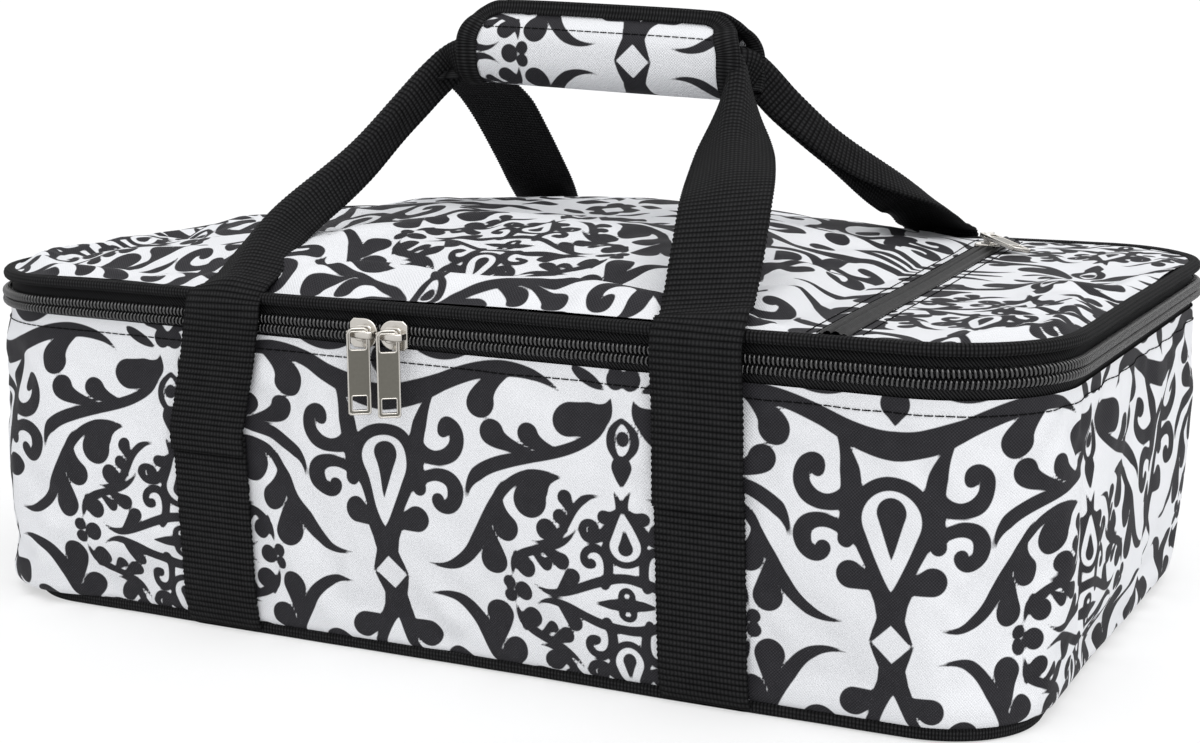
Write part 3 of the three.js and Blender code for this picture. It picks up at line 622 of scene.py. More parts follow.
def inked_shapes():
    return [
        # the great drop on its axis, its arms and its foot
        comma((0, 37.5), (0, 26), (0, 8), 13.6),
        comma((12.6, 20.4), (7, 18.5), (0, 17), 4.4),
        stroke([(0, 20), (0, 14), (0, 8), (0, 4)], [7.6, 5.4, 4.4, 3.6]),
        stroke([(2.4, 7), (4.2, 3.4), (6.9, 0)], [2.2, 1.5, 0.3]),
        # two hooked scrolls beside the drop
        stroke([(14, 31), (11.5, 42), (12, 52), (17, 61)], [2.6, 3.4, 3.0, 1.0]),
        stroke([(14, 44), (19, 39.5), (29.5, 42), (28.6, 50)], [3.0, 2.4, 2.8, 2.6]),
        stroke([(28.6, 50), (28.2, 55), (22.5, 55), (23.4, 51)], [2.6, 2.0, 2.0, 2.2]),
        ball(23.8, 51.2, 2.3),
        stroke([(12, 32), (19, 38.5), (27.5, 37), (27.6, 31)], [2.0, 2.0, 2.6, 3.0]),
        stroke([(27.6, 31), (27.6, 25.5), (22, 24), (20.8, 27.5)], [3.0, 2.6, 2.4, 2.2]),
        ball(21, 27.8, 2.4),
        # the arch over them with its hanging leaf
        stroke([(0, 60), (18, 60), (30, 76), (52, 77), (65, 66.5)], [4.4, 4.0, 3.0, 2.8, 2.6, 1.8, 0.2]),
        comma((37.5, 61.8), (38.5, 68), (50, 73), 5.2),
        # the rising stem with its leaves
        stroke([(32, 29.5), (31, 43), (50, 45), (62, 46.5), (81, 47.5), (83, 66.5)],
               [0.2, 2.4, 2.4, 2.0, 1.9, 1.7, 0.2]),
        comma((41.5, 52.3), (44, 48.5), (58, 47), 4.4),
        comma((54.5, 53), (57, 49), (68, 48), 3.7),
        stroke([(68.5, 58.6), (75, 59), (82, 59.5), (82.9, 66.5)], [5.4, 5.2, 3.0, 0.2]),
        # the swan-necked leaf with its drops
        stroke([(14, 5.6), (33, 1), (39, 19), (37, 36), (52, 43.5), (66, 39.9)],
               [0.2, 2.0, 2.6, 2.0, 1.8, 1.6, 0.2]),
        comma((39.8, 9.5), (40, 15), (38.8, 23), 4.9),
        comma((45.5, 21.2), (40, 28), (45, 37), 4.5),
        stroke([(54.5, 31.4), (55, 36), (60, 39.5), (66, 39.9)], [5.9, 4.8, 2.0, 0.2]),
        # the sprig between, low
        stroke([(46.3, 4.8), (47, 14), (54, 16.5), (66, 14.5), (71, 24)], [0.2, 1.8, 1.6, 1.4, 1.2, 0.2]),
        comma((52.3, 8.8), (48, 10), (48.5, 14.5), 3.5),
        comma((65.5, 12.6), (61.5, 14.5), (58, 16), 2.8),
        comma((60, 10.8), (57, 12.5), (54.5, 15.2), 2.1),
        # the sprig between, high
        stroke([(55, 18), (66.5, 16.5), (68, 26), (70, 36), (80, 35.2)], [0.2, 1.5, 1.4, 1.3, 1.4, 0.2]),
        comma((60, 22.5), (64.5, 20), (66, 19), 3.5),
        comma((65, 27.3), (67, 25), (67.8, 22), 2.4),
        comma((67, 33.6), (68.5, 31), (69.3, 27), 2.6),
        # small spirals beside the medallion
        stroke([(85, 30), (81.5, 21.5), (74, 18.5), (73.2, 24)], [1.7, 1.8, 1.5, 1.4]),
        stroke([(73.2, 24), (73.1, 27.6), (78.6, 27.2), (77.6, 24.2)], [1.4, 1.2, 1.2, 1.3]),
        ball(76.8, 24.3, 1.7),
        stroke([(80, 6), (83, 14), (80, 20), (75, 17.6)], [1.5, 1.7, 1.5, 1.3]),
        stroke([(75, 17.6), (72.3, 16), (73, 11.3), (76, 12.6)], [1.3, 1.3, 1.2, 1.3]),
        ball(75.6, 13.1, 1.6),
        # the band along the level axis and its leaf
        stroke([(54.5, 4), (62, -2), (69, 3), (78, 8.7), (87, 8.8)], [0.2, 1.3, 1.5, 1.7, 1.6]),
        comma((69, 8), (66, 4.5), (62, 0.8), 2.7),
        stroke([(76.5, 0), (82, 0), (87, 0)], [0.2, 1.7, 2.3]),
        ball(87, 3, 2.9),
        # the medallion
        comma((87, 19.3), (87, 25), (87, 34), 7.1),
        comma((80.8, 28.8), (84, 29), (87, 32), 2.3),
        stroke([(86.4, 31), (86.2, 34.5), (84.2, 37.8)], [1.5, 1.0, 0.2]),
        comma((87, 45.5), (87, 42), (87, 38.6), 3.4),
        stroke([(87, 47), (81, 51), (81, 56.5), (87, 60)], [0.8, 1.5, 1.4, 0.8]),
        ball(87, 54, 2.4),
        # the crest
        leaf((69, 75.5), (75, 71), (81, 69), 2.2),
        ball(84.5, 72.5, 3.4),
        comma((79, 79), (83, 77), (87, 74), 2.8),
        ball(44.6, 2.3, 2.4),
        ball(50, 0, 3.4),
        comma((0, 72.5), (0, 70), (0, 66), 4.6),
        leaf((9, 80), (22, 73), (36, 79), 2.6),
        leaf((46, 81), (56, 78), (67, 81), 1.8),
    ]


def bare_shapes():
    """Drops left white inside the inked ones."""
    return [comma((0, 38), (0, 28), (0, 16.5), 9.0), comma((87, 19.3), (87, 24.5), (87, 31), 4.9),
            ball(87, 3.1, 0.9)]


def inked_cores():
    return [comma((0, 40.5), (0, 35), (0, 26), 4.5), comma((87, 18.6), (87, 21), (87, 25.5), 2.4)]


def distance_to(shapes, u, v):
    """Distance to the nearest edge of the shapes, negative inside them."""
    nearest = np.full(u.shape, CELL_HALF_WIDTH)
    for centre_u, centre_v, radius in np.vstack(shapes):
        np.minimum(nearest, np.hypot(u - centre_u, v - centre_v) - radius, out=nearest)
    return nearest


def print_cell():
    """Distance to the ink's edge over the quarter cell, negative inside the ink."""
    u, v = np.meshgrid(np.arange(0, CELL_HALF_WIDTH + PRINT_STEP, PRINT_STEP),
                       np.arange(0, CELL_HALF_HEIGHT + PRINT_STEP, PRINT_STEP), indexing="ij")
    ink = np.maximum(distance_to(inked_shapes(), u, v), -distance_to(bare_shapes(), u, v))
    ink = np.minimum(ink, distance_to(inked_cores(), u, v))
    diamond = DIAMOND_REACH * (u / DIAMOND_HALF_WIDTH + v / DIAMOND_HALF_HEIGHT - 1)
    return np.maximum(ink, -diamond)


PRINT_CELL = print_cell()


def folded(x, half):
    """Distance from the nearest mirror line of a pattern that repeats every two halves."""
    return half - np.abs(np.mod(x, 2 * half) - half)


def between(grid, a, b):
    """Values between the places of a grid, at fractional places."""
    i = np.clip(np.floor(a).astype(int), 0, grid.shape[0] - 2)
    j = np.clip(np.floor(b).astype(int), 0, grid.shape[1] - 2)
    p, q = a - i, b - j
    low = grid[i, j] * (1 - p) + grid[i + 1, j] * p
    high = grid[i, j + 1] * (1 - p) + grid[i + 1, j + 1] * p
    return low * (1 - q) + high * q


def ink_at(u, v):
    """Distance to the ink's edge at places on the cloth, in millimetres."""
    cell_u = folded(u, CELL_HALF_WIDTH) / PRINT_STEP
    cell_v = folded(v, CELL_HALF_HEIGHT) / PRINT_STEP
    return between(PRINT_CELL, cell_u, cell_v)


# Cloth simulation: sewn places are held fully, padding holds the cloth a little, slack is spare cloth

SIM_STEP = 6.0
SIM_FRAMES = 24
SIM_QUALITY = 6
CLOTH_MASS = 0.1
CLOTH_STIFFNESS = 0.08
SEWN_HOLD = 1.0
PADDING_HOLD = 0.02
WALL_SLACK = 0.012
LID_SLACK = 0.02
MOST_MOVE = 3.0
BROAD_PASSES = 24
REFINE_PASSES = 4


def settled_moves(name, points, held, slack):
    """How far a sheet moves as its spare cloth settles, with how firmly each of its places is held."""
    rows, columns = points.shape[:2]
    sheet = make_piece(name, points, grid_faces(rows, columns).tolist(), PRINT)
    group = sheet.vertex_groups.new(name="held")
    for weight in np.unique(held):
        group.add(np.flatnonzero(held.ravel() == weight).tolist(), float(weight), "REPLACE")
    cloth = sheet.modifiers.new("cloth", "CLOTH")
    cloth.settings.quality = SIM_QUALITY
    cloth.settings.mass = CLOTH_MASS
    cloth.settings.vertex_group_mass = "held"
    cloth.settings.shrink_min = -slack
    cloth.settings.bending_stiffness = CLOTH_STIFFNESS
    cloth.settings.effector_weights.gravity = 0
    cloth.point_cache.frame_end = SIM_FRAMES
    scene = bpy.context.scene
    for number in range(1, SIM_FRAMES + 1):
        scene.frame_set(number)
    shape = sheet.evaluated_get(bpy.context.evaluated_depsgraph_get()).data
    moved = np.empty(points.size, np.float32)
    shape.vertices.foreach_get("co", moved)
    mesh = sheet.data
    bpy.data.objects.remove(sheet)
    bpy.data.meshes.remove(mesh)
    scene.frame_set(1)
    return moved.reshape(points.shape) / MM - points


def wrinkles_only(moves):
    """Moves less their average over the places near by."""
    broad = moves
    for _ in range(BROAD_PASSES):
        wide = np.vstack([broad[:1], broad, broad[-1:]])
        broad = ((wide[:-2] + wide[1:-1] + wide[2:]) / 3).T
    return moves - broad


def refined(grid):
    """A grid with four times the places each way, on smooth curves through the given ones."""
    for _ in range(REFINE_PASSES):
        wide = np.vstack([grid[:1], grid, grid[-1:]])
        middles = (9 * (wide[1:-2] + wide[2:-1]) - wide[:-3] - wide[3:]) / 16
        fine = np.empty((2 * len(grid) - 1, grid.shape[1]))
        fine[::2] = grid
        fine[1::2] = middles
        grid = fine.T
    return grid


# Walls

PRINT_AXIS = -19.0
PRINT_LEVEL = 30.5
TOP_RAISED = 1.9
TOP_SLANT = 1.5
TOP_SLANT_REACH = 160.0
TOP_FADE = 40.0
SLOUCH_CURVE = 0.75
PADDING = 1.0
PADDING_CURVE = 0.8
PADDING_WAVE = 0.5
WAVE_RUN = 31
WAVE_RISE = 19
WAVE_DRIFT = 83
PADDING_RIPPLE = 0.84
RIPPLE_RUN = 9.7
RIPPLE_RISE = 24

# Distances round the rim where the shape of an end starts, is full, starts to fade and is gone
LEFT_END = (135, 205, 330, 420)
RIGHT_END = (185, 235, 360, 430)


def left_end(distance):
    """1 along the left end of the box, 0 elsewhere."""
    return rise_and_fall(-distance, *LEFT_END)


def right_end(distance):
    """1 along the right end of the box, 0 elsewhere."""
    return rise_and_fall(distance, *RIGHT_END)


def wall_top(distance):
    """The printed cloth is sewn a little higher at the left of the front than at the right."""
    sewn = 1 - smoothstep(np.abs(distance), ZIP_END - TOP_FADE, ZIP_END)
    return WALL_TOP + (TOP_RAISED - TOP_SLANT * np.clip(distance / TOP_SLANT_REACH, -1, 1)) * sewn


def wall_share(height):
    """0 at the foot of the wall and 1 at its top."""
    return np.clip((height - WALL_FOOT) / (WALL_TOP - WALL_FOOT), 0, 1)


def wall_offset(distance, height):
    """Offset of the wall from the rim: drawn in to the base, slouched out at the left end, rolled under."""
    share = wall_share(height)
    straight = -(WALL_INSET_FOOT + (WALL_INSET_TOP - WALL_INSET_FOOT) * share)
    slouch = LEFT_SLOUCH * left_end(distance) * (1 - share) ** SLOUCH_CURVE
    under = np.clip((WALL_FOOT + FOOT_ROLL - height) / FOOT_ROLL, 0, 1)
    return straight + slouch - FOOT_ROLL * (1 - np.sqrt(1 - under**2))


def wall_padding(distance, height):
    """How far the padding pushes the cloth out before the cloth settles."""
    share = wall_share(height)
    middle = np.sin(math.pi * share) ** PADDING_CURVE
    drifting = height / WAVE_RISE + distance / WAVE_DRIFT
    waves = PADDING_WAVE * np.sin(distance / WAVE_RUN + 0.6) * np.sin(drifting)
    bent = distance / RIPPLE_RUN + 2 * np.sin(height / RIPPLE_RISE)
    ripples = PADDING_RIPPLE * np.sin(bent) * (1 - share) * share
    return (PADDING + waves + ripples) * middle


def strap_near(distance):
    """1 where a strap is sewn over the wall, 0 well away from it."""
    x = rim_at(distance)[0][..., 0] - WEB_SHIFT
    away = np.minimum(np.abs(x - WEB_SPREAD), np.abs(x + WEB_SPREAD))
    return 1 - smoothstep(away, WEB_WIDTH / 2, WEB_WIDTH / 2 + SIM_STEP)


def wall_moves():
    """Outward moves of the wall cloth as it settles between its seams and the straps."""
    run = np.linspace(-HALF_ROUND, HALF_ROUND, int(2 * HALF_ROUND / SIM_STEP))
    levels = np.linspace(WALL_FOOT, WALL_TOP, int((WALL_TOP - WALL_FOOT) / SIM_STEP))
    z, s = np.meshgrid(levels, run, indexing="ij")
    points = off_rim(s, wall_offset(s, z) + wall_padding(s, z), z)
    held = np.where(strap_near(s) > 0.5, SEWN_HOLD, PADDING_HOLD)
    held[[0, -1]] = SEWN_HOLD
    held[:, [0, -1]] = SEWN_HOLD
    moves = settled_moves("wall_sim", points, held, WALL_SLACK)
    out = (moves[..., :2] * rim_at(s)[1]).sum(-1)
    return refined(np.clip(out, -MOST_MOVE, MOST_MOVE))


WALL_MOVES = wall_moves()


def wall_swell(distance, height):
    """How far the settled cloth stands out from the straight wall."""
    rows, columns = WALL_MOVES.shape
    level = (height - WALL_FOOT) / (WALL_TOP - WALL_FOOT) * (rows - 1)
    place = (distance + HALF_ROUND) / (2 * HALF_ROUND) * (columns - 1)
    return wall_padding(distance, height) + between(WALL_MOVES, np.clip(level, 0, rows - 1), place)


def build_wall():
    run = np.linspace(-HALF_ROUND, HALF_ROUND, int(2 * HALF_ROUND / CLOTH_STEP))
    share = np.linspace(0, 1, int((WALL_TOP - WALL_FOOT) / CLOTH_STEP))
    share, s = np.meshgrid(share, run, indexing="ij")
    z = WALL_FOOT + share * (wall_top(s) - WALL_FOOT)
    points = off_rim(s, wall_offset(s, z) + wall_swell(s, z), z)
    wall = sheet_piece("printed_wall", points, PRINT, s, z, ink_at(s - PRINT_AXIS, z - PRINT_LEVEL))
    settle(wall, "carrier_body", "print", "wall_cover", "wall_foam")


# Base and linings: offset from the rim and height of each ring, and shares of a ring towards its middle

BASE_RINGS = [(-14.0, 1.2), (-12.0, 1.4), (-11.0, 2.2), (-10.8, 3.6)]
BASE_SHARES = (0.0, 0.35, 0.7)
BASE_RING_POINTS = 240
BASE_TAPE = {"offset": -8.0, "height": BINDING_FOOT, "width": 2.6, "tall": 4.2}
RIGHT_TUCK = 3.2
TUB_RINGS = [(-14.0, 10.6), (-12.6, 11.6), (-12.2, 14), (-11, 40), (-9.6, 70), (-8.2, 100), (-7.9, 104.6),
             (-6.6, 105.6), (-2.6, 105.7)]
TUB_SHARES = (0.0, 0.25, 0.5, 0.75)
LID_FILM_RINGS = [(-2.5, 114.0), (-4.0, 112.7), (-8, 112.2), (-20, 112.2)]
LID_FILM_SHARES = (0.8, 0.6, 0.4, 0.2, 0.0)
FILM_RING_POINTS = 300


def build_base():
    rings = rim_rings(BASE_RING_POINTS, BASE_RINGS)
    sheet = np.concatenate([drawn_to_middle(rings[0], BASE_SHARES), rings])
    base = sheet_piece("base_cloth", sheet, BASE_CLOTH, sheet[..., 0], sheet[..., 1])
    settle(base, "carrier_body", "base_cloth", "base_cover")
    edge = edge_tape("base_edge_tape", **BASE_TAPE, tuck=lambda run: RIGHT_TUCK * right_end(run))
    settle(edge, "carrier_body", "binding", "base_binding")


def build_lining():
    rings = rim_rings(FILM_RING_POINTS, TUB_RINGS)
    sheet = np.concatenate([drawn_to_middle(rings[0], TUB_SHARES), rings])
    tub = sheet_piece("lining_film", sheet, LINING, sheet[..., 0], sheet[..., 1], flip=True)
    settle(tub, "carrier_body", "lining", "lining_tub", "base_foam")
    rings = rim_rings(FILM_RING_POINTS, LID_FILM_RINGS)
    sheet = np.concatenate([rings, drawn_to_middle(rings[-1], LID_FILM_SHARES)])
    under = sheet_piece("lid_film", sheet, LINING, sheet[..., 0], sheet[..., 1], flip=True)
    settle(under, "lid", "lining", "lid_lining")


# Lid

LID_INSET = 3.2
LID_HALF_LENGTH = RIM_LENGTH / 2 - LID_INSET
LID_HALF_DEPTH = RIM_DEPTH / 2 - LID_INSET
LID_TAPE = {"offset": -1.75, "height": 119.6, "width": 5.0, "tall": 4.0}
LID_PRINT_X = -92.0
LID_PRINT_Y = -60.0
LID_PRINT_COLUMNS = 360
ROW_CROWDING = 0.86
POCKET_PRINT_COLUMNS = 84

# The crown, and the distances inside the edge over which crown, puff and creases come in
CROWN_X = -25.0
CROWN_Y = 30.0
CROWN_RIGHT = 112.0
CROWN_HEIGHT = 17.0
CROWN_RISE = (0, 14)
CROWN_CURVE = 0.75
LEFT_FLATTER = 0.6
LEFT_FLATTER_RUN = (60, 150)
LID_PUFF = 2.4
PUFF_RISE = (0.5, 9)
REAR_PUFF = 0.2
FRONT_PUFF_RUN = (10, 90)
CREASE_RISE = (0, 22)
REAR_CALM = 0.6
REAR_CALM_RUN = (20, 90)

# Rows of small creases along the front and at the rear right: height, slant, bend and spacing
FRONT_CREASE_HEIGHT = 0.55
FRONT_CREASES = {"slant": 0.22, "bend": 7, "bend_run": 37, "spacing": 4.6}
FRONT_CREASE_DEPTH = (-78, 26)
FRONT_CREASE_RUN = (-170, -110, 68, 108)
REAR_CREASE_HEIGHT = 0.5
REAR_CREASES = {"slant": -0.35, "bend": 6, "bend_run": 21, "spacing": 5.2}
REAR_CREASE_DEPTH = (70, 30)
REAR_CREASE_RUN = (90, 40)
QUILT_HEIGHT = 0.5

# The roll behind the front edge and the crease behind it: height, distance from the edge and width
ROLL = (1.6, 14, 8)
ROLL_CREASE = (3.4, 33, 9)
ROLL_RUN = (-95, -50, 60, 100)

# The level strip that the pocket zip and its pull lie on
PULL_SIDE = 8.0
LEVEL_STRIP = (18, 40)
STRIP_HOLD = 0.9


def lid_crown(x, y):
    """Height of the padded lid above its edge, which ends just left of the pocket zip."""
    across = (x - CROWN_X) / np.where(x > CROWN_X, CROWN_RIGHT - CROWN_X, CROWN_X + LID_HALF_LENGTH)
    deep = (y - CROWN_Y) / np.where(y > CROWN_Y, LID_HALF_DEPTH - CROWN_Y, LID_HALF_DEPTH + CROWN_Y)
    dome = np.clip(1 - across**2, 0, 1) * np.clip(1 - deep**2, 0, 1)
    return CROWN_HEIGHT * dome ** (CROWN_CURVE + LEFT_FLATTER * smoothstep(-x, *LEFT_FLATTER_RUN))


def crease_row(across, along, slant, bend, bend_run, spacing):
    """Rises and falls between -1 and 1 over a row of creases that slant and bend along their run."""
    return np.sin((across + slant * along + bend * np.sin(along / bend_run)) / spacing)


def lid_creases(x, y):
    """Shallow folds where the lid cloth is slack, strongest along the front."""
    front = hump(y, *FRONT_CREASE_DEPTH) * rise_and_fall(x, *FRONT_CREASE_RUN)
    folds = crease_row(y, x, **FRONT_CREASES) * FRONT_CREASE_HEIGHT * front
    rear = hump(y, *REAR_CREASE_DEPTH) * hump(x, *REAR_CREASE_RUN)
    slack = crease_row(x, y, **REAR_CREASES) * REAR_CREASE_HEIGHT * rear
    quilt = QUILT_HEIGHT * np.sin(x / 23 + 1.3 * np.sin(y / 41)) * np.sin(y / 19 + x / 61)
    return folds + slack + quilt


def lid_margin(x, y):
    """Distance inside the rounded edge of the lid cloth."""
    across = np.abs(x) - STRAIGHT_X
    deep = np.abs(y) - STRAIGHT_Y
    out = np.hypot(np.maximum(across, 0), np.maximum(deep, 0)) + np.minimum(np.maximum(across, deep), 0)
    return RIM_RADIUS - LID_INSET - out


def front_roll(x, y):
    """The cloth rolls up behind the front edge and falls into a long crease between the straps."""
    along = rise_and_fall(x, *ROLL_RUN)
    behind = y + LID_HALF_DEPTH
    roll, crease = [high * hump(behind, middle, width) for high, middle, width in (ROLL, ROLL_CREASE)]
    return along * (roll - crease)


def pocket_line(y):
    """Middle of the pocket zip at a depth."""
    return POCKET_X - y * math.tan(POCKET_SLANT)


def pocket_free(x, y):
    """How freely the cloth moves: little where the pocket zip and its pull lie, 1 well away from them."""
    near = 1 - smoothstep(np.abs(x - pocket_line(y) - PULL_SIDE), *LEVEL_STRIP)
    return 1 - STRIP_HOLD * near


def lid_padding(x, y):
    """Height of the lid before its cloth settles: low at its edge, puffed up inside it, then the crown."""
    edge = lid_margin(x, y)
    to_front = REAR_PUFF + (1 - REAR_PUFF) * smoothstep(-y, *FRONT_PUFF_RUN)
    puff = LID_PUFF * smoothstep(edge, *PUFF_RISE) * to_front
    crown = lid_crown(x, y) * smoothstep(edge, *CROWN_RISE)
    slack = puff + lid_creases(x, y) * smoothstep(edge, *CREASE_RISE)
    return LID_EDGE + crown + front_roll(x, y) + slack * pocket_free(x, y)


def lid_moves():
    """Upward moves of the lid cloth as it settles between its bound edge and the pocket zip."""
    across = np.linspace(-LID_HALF_LENGTH, LID_HALF_LENGTH, int(2 * LID_HALF_LENGTH / SIM_STEP))
    deep = np.linspace(-LID_HALF_DEPTH, LID_HALF_DEPTH, int(2 * LID_HALF_DEPTH / SIM_STEP))
    x, y = np.meshgrid(across, deep, indexing="ij")
    points = np.stack([x, y, lid_padding(x, y)], -1)
    sewn = (lid_margin(x, y) < SIM_STEP) | (np.abs(x - pocket_line(y)) < POCKET_HALF + SIM_STEP)
    moves = settled_moves("lid_sim", points, np.where(sewn, SEWN_HOLD, PADDING_HOLD), LID_SLACK)
    return refined(np.clip(wrinkles_only(moves[..., 2]), -MOST_MOVE, MOST_MOVE))


LID_MOVES = lid_moves()


def lid_height(x, y):
    """Height of the settled lid cloth, whose wrinkles fade towards the rear."""
    columns, rows = LID_MOVES.shape
    across = (x / LID_HALF_LENGTH + 1) / 2 * (columns - 1)
    deep = (y / LID_HALF_DEPTH + 1) / 2 * (rows - 1)
    loose = (1 - REAR_CALM * smoothstep(y, *REAR_CALM_RUN)) * pocket_free(x, y)
    return lid_padding(x, y) + between(LID_MOVES, across, deep) * loose


def lid_half_length(y):
    """Half length of the lid cloth at a depth, with round corners."""
    radius = RIM_RADIUS - LID_INSET
    deep = np.clip(np.abs(y) - STRAIGHT_Y, 0, radius)
    return STRAIGHT_X + np.sqrt(np.maximum(radius**2 - deep**2, 0))


def build_lid_panel(name, left, right, columns, *nodes):
    """A printed panel between two edges that are functions of depth, with rows closer at front and rear."""
    rows = 2 * int(LID_HALF_DEPTH / CLOTH_STEP)
    most = math.pi / 2 * ROW_CROWDING
    y = LID_HALF_DEPTH * np.sin(np.linspace(-1, 1, rows) * most) / math.sin(most)
    share = np.linspace(0, 1, columns)[None]
    x = left(y)[:, None] * (1 - share) + right(y)[:, None] * share
    yy = np.broadcast_to(y[:, None], x.shape)
    points = np.stack([x, yy, lid_height(x, yy)], -1)
    panel = sheet_piece(name, points, PRINT, x, yy, ink_at(x - LID_PRINT_X, yy - LID_PRINT_Y))
    settle(panel, "lid", "print", *nodes)


def build_lid():
    build_lid_panel("lid_print", lambda y: -lid_half_length(y),
                    lambda y: np.minimum(pocket_line(y) - POCKET_HALF, lid_half_length(y)),
                    LID_PRINT_COLUMNS, "lid_cover", "lid_foam", "pocket_lining")
    build_lid_panel("pocket_print", lambda y: np.minimum(pocket_line(y) + POCKET_HALF, lid_half_length(y)),
                    lid_half_length, POCKET_PRINT_COLUMNS, "pocket_panel")
    settle(edge_tape("lid_edge_tape", **LID_TAPE), "lid", "binding", "lid_binding")


# Zips

TOOTH_PITCH = 1.5
TOOTH_SIDES = 6
TOOTH_HALF_WIDTH = 0.46
TOOTH_HALF_THICK = 0.4
# distance from the middle of the zip, lean along it and stand-off, from the tape round to the middle
TOOTH_STATIONS = np.array([[3.35, -0.25, -0.9], [3.0, -0.2, 0.2], [2.3, -0.1, 0.85], [1.4, 0.0, 1.05],
                           [0.6, 0.1, 0.85], [0.1, 0.15, 0.1]])
ZIP_MARGIN = 4.0
TAPE_STEP = 2.0
TAPE_OFFSET = -2.6
TAPE_HALF_THICK = 0.35
TAPE_TUCK = 1.2
TAPE_GAP = 0.3
HINGE_OFFSET = -1.2
HINGE_BOW = 0.5
HINGE_COLUMNS = 90
HINGE_ROWS = 12

# distance from the middle of the pocket zip and height above the lid: tape edge, its fold, then the coil
POCKET_PROFILE = np.array([[POCKET_HALF + 0.6, -0.1], [POCKET_HALF, 0.5], [3.6, 0.7], [3.1, 0.35],
                           [2.7, 0.5], [2.1, 1.1], [1.2, 1.4], [0.5, 1.2], [0.12, 0.5]])
POCKET_RUN_POINTS = 560
POCKET_LIFT = 0.2
POCKET_RIB = 0.05
COIL_EDGE = 2.6
COIL_BLEND = 0.6


def coil_teeth(name, centres, side):
    """Coil turns along the rim, each over the edge of its tape, on the lower (-1) or upper (1) side."""
    turn = np.linspace(0, TURN, TOOTH_SIDES, endpoint=False)
    up, lean, stand_off = TOOTH_STATIONS.T
    s = centres[:, None, None] + lean[None, :, None] + TOOTH_HALF_WIDTH * np.cos(turn)
    offset = np.broadcast_to(stand_off[:, None] + TOOTH_HALF_THICK * np.sin(turn), s.shape)
    height = np.broadcast_to((ZIP_HEIGHT + side * up)[:, None], s.shape)
    faces = repeated_tubes(len(TOOTH_STATIONS), TOOTH_SIDES, len(centres))
    if side > 0:
        faces = faces[:, ::-1]
    return make_piece(name, off_rim(s, offset, height), faces.tolist(), COIL)


def zip_tape(name, low, high):
    inner, outer = TAPE_OFFSET - TAPE_HALF_THICK, TAPE_OFFSET + TAPE_HALF_THICK
    section = [(inner, low), (outer, low), (outer, high), (inner, high)]
    return rim_band(name, section, TAPE, TAPE_STEP, (-ZIP_END, ZIP_END))


def build_rim_zip():
    centres = np.arange(-ZIP_END + ZIP_MARGIN, ZIP_END - ZIP_MARGIN, TOOTH_PITCH)
    settle(coil_teeth("lower_teeth", centres, -1), "carrier_body", "coil", "lower_zip_coil")
    settle(coil_teeth("upper_teeth", centres + TOOTH_PITCH / 2, 1), "lid", "coil", "upper_zip_coil")
    lower = zip_tape("lower_tape", WALL_TOP - TAPE_TUCK, ZIP_HEIGHT - TAPE_GAP)
    settle(lower, "carrier_body", "tape", "lower_zip_tape")
    upper = zip_tape("upper_tape", ZIP_HEIGHT + TAPE_GAP, TAPE_TOP)
    settle(upper, "lid", "tape", "upper_zip_tape")


def build_hinge():
    to_middle = np.linspace(ZIP_END, HALF_ROUND, HINGE_COLUMNS)
    run = np.r_[to_middle, -to_middle[::-1][1:]]
    heights = np.linspace(WALL_TOP - TAPE_TUCK, TAPE_TOP + TAPE_GAP, HINGE_ROWS)
    z, s = np.meshgrid(heights, run, indexing="ij")
    bow = HINGE_BOW * np.sin(math.pi * (z - heights[0]) / (heights[-1] - heights[0]))
    hinge = sheet_piece("hinge_cloth", off_rim(s, HINGE_OFFSET + bow, z), BINDING, z, s)
    settle(hinge, None, "tape", "hinge_tape")
    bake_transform(hinge)


def pocket_frame(along, across, height):
    """Points by distance along the pocket zip towards the rear, across it to the right, and height."""
    x = POCKET_X - along * math.sin(POCKET_SLANT) + across * math.cos(POCKET_SLANT)
    y = along * math.cos(POCKET_SLANT) + across * math.sin(POCKET_SLANT)
    return np.stack([x, y, np.broadcast_to(height, np.shape(x))], -1)


def build_pocket_zip():
    reach = RIM_DEPTH / 2 - ZIP_MARGIN
    run = np.linspace(-reach, reach, POCKET_RUN_POINTS)
    out, rise = POCKET_PROFILE.T
    on_coil = smoothstep(COIL_EDGE - out, 0, COIL_BLEND)
    ribs = POCKET_RIB * np.sin(TURN * run / TOOTH_PITCH)[:, None] * on_coil[None]
    for side, word in ((-1, "left"), (1, "right")):
        across = np.broadcast_to(side * out[None], ribs.shape)
        along = np.broadcast_to(run[:, None], ribs.shape)
        points = pocket_frame(along, across, 0.0)
        points[..., 2] = lid_height(points[..., 0], points[..., 1]) + POCKET_LIFT + rise[None] + ribs
        tape = sheet_piece(f"pocket_zip_{word}", points, POCKET_TAPE, along, across, flip=side < 0)
        settle(tape, "lid", "tape", f"pocket_tape_{word}", f"pocket_coil_{word}")


# Stitches

STITCH_LENGTH = 2.6
STITCH_GAP = 0.5
THREAD_RADIUS = 0.2
THREAD_SIDES = 6
THREAD_LIFT = 0.1
STITCH_SHARES = np.array([0.0, 0.12, 0.5, 0.88, 1.0])
STITCH_ARCH = np.array([-0.35, 0.2, 0.3, 0.2, -0.35])
WALL_STITCH_DROP = 4.6
WALL_STITCH_POINTS = 900
POCKET_STITCH_ROWS = (POCKET_HALF + 1.2, POCKET_HALF + 4.2)
POCKET_STITCH_MARGIN = 7.0
POCKET_STITCH_POINTS = 200


